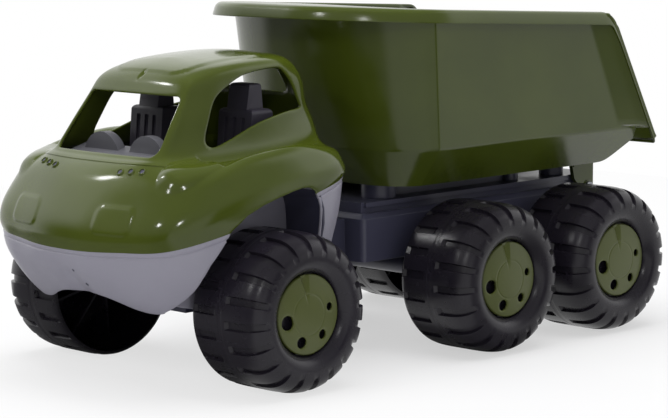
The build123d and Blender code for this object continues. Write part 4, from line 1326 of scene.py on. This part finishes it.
# The studio's room: white to the camera, an even soft light on the truck that is weaker from the
# dim side, and to the gloss a ring of screens and darker gaps under a white ceiling. The rings
# go by the angle from the truck's left towards its tail, and the heights are shares of the way up.
studioLook = {
    "light": 0.66, "shade": 0.3, "seen": 1.0,
    "ring": [(0, 0.6), (6, 0.06), (26, 0.06), (34, 0.35), (40, 0.8), (110, 1.0), (206, 1.0), (216, 0.06),
             (296, 0.06), (304, 0.66), (358, 0.72), (360, 0.6)],
    "ceiling": (0.12, 0.42), "highLevel": 1.3, "zenith": (0.6, 0.8), "zenithLevel": 0.3,
    "high": [(0, 0.28), (41, 0.28), (51, 1.0), (120, 1.0), (218, 1.0), (230, 0.28), (360, 0.28)],
}


# A ring of the room read along a direction: the angle's share of a whole turn picks the level
def ringLevel(nodes, direction, levels):
    x, y, _ = nodes.split(direction)
    share = x.math("FRACT", x.math("ARCTAN2", y, x) * (0.5 / np.pi))
    stops = [(degrees / 360.0, level) for degrees, level in levels]
    return nodes.node("ShaderNodeValToRGB", {"stops": stops}, {"Fac": share})


def makeWorld(look):
    world = bpy.data.worlds.new("studio")
    world.use_nodes = True
    bpy.context.scene.world = world
    nodes = Nodes(world.node_tree)
    direction = nodes.node("ShaderNodeTexCoord", {}, {}, "Generated")
    ring, high = (ringLevel(nodes, direction, look[key]) for key in ("ring", "high"))
    height = nodes.split(direction)[2]
    up, top = height.between(*look["ceiling"]), height.between(*look["zenith"])
    soft = nodes.mixLevel(nodes.mixLevel(up, ring, 1.0), look["light"] * look["shade"], look["light"])
    gloss = nodes.mixLevel(top, nodes.mixLevel(up, ring, high * look["highLevel"]), look["zenithLevel"])
    lit = nodes.mixLevel(nodes.ray("Glossy"), soft, gloss)
    strength = nodes.mixLevel(nodes.ray("Camera"), lit, look["seen"])
    nodes.feed(nodes.tree.nodes["Background"], {"Color": (1.0, 1.0, 1.0, 1.0), "Strength": strength})


makeWorld(studioLook)

# A pale paper sweep on the floor. What the camera sees of it glows partly white, painted light that grows
# away from the truck and in front of it, so the truck's shadow shows faintly and only near it; from about
# the front axle back the glow is cut back, a painted shade that deepens the shadow there. To the gloss it
# glows mostly with the level of the room's ring: painted light for the truck's reflections of it.
floorLook = {"half": 1.1, "tone": (0.66, 0.66, 0.67), "grain": 1.03, "rough": 0.85, "specular": 0.2,
             "lift": 0.72, "gloss": 0.8, "near": 0.3, "far": 0.9, "paintedShadeFrom": (-0.2, 0.0), "paintedShade": 0.16}


def makeFloor(look):
    mesh = bpy.data.meshes.new("studioFloor")
    half = look["half"]
    corners = [(-half, -half, 0), (half, -half, 0), (half, half, 0), (-half, half, 0)]
    mesh.from_pydata(corners, [], [(0, 1, 2, 3)])
    floor = bpy.data.objects.new("studioFloor", mesh)
    bpy.context.scene.collection.objects.link(floor)
    shader = Shader("studioFloor")
    pale = [channel * look["grain"] for channel in look["tone"]]
    colour = shader.mixColour(shader.noise(3.0, 2.0), (*look["tone"], 1.0), (*pale, 1.0))
    mesh.materials.append(shader.set(Base_Color=colour, Roughness=look["rough"],
                                     Specular_IOR_Level=look["specular"]))
    # Painted reflection: to the gloss the floor glows with the room's ring
    ring = ringLevel(shader, shader.place, studioLook["ring"])
    room = shader.node("ShaderNodeEmission", {}, {"Color": ring})
    white = shader.node("ShaderNodeEmission", {}, {"Color": (1.0, 1.0, 1.0, 1.0)})
    distance = shader.node("ShaderNodeVectorMath", {"operation": "LENGTH"}, {0: shader.place}, "Value")
    # Painted shade: from about the front axle back the white glow is cut back, so the floor there reads
    # darker
    behind = shader.split(shader.place)[1].between(*look["paintedShadeFrom"])
    away = distance.between(look["near"], look["far"])
    lift = look["lift"] + away * (1.0 - look["lift"]) - behind * look["paintedShade"]
    paper = Value(shader, shader.principled.outputs[0])
    seen, mirror = shader.ray("Camera") * lift, shader.ray("Glossy") * look["gloss"]
    shown = shader.node("ShaderNodeMixShader", {}, {0: seen, 1: paper, 2: white})
    whole = shader.node("ShaderNodeMixShader", {}, {0: mirror, 1: shown, 2: room})
    shader.feed(shader.tree.nodes["Material Output"], {"Surface": whole})


makeFloor(floorLook)
bpy.context.scene.view_settings.view_transform = "Standard"
stage("studio made")
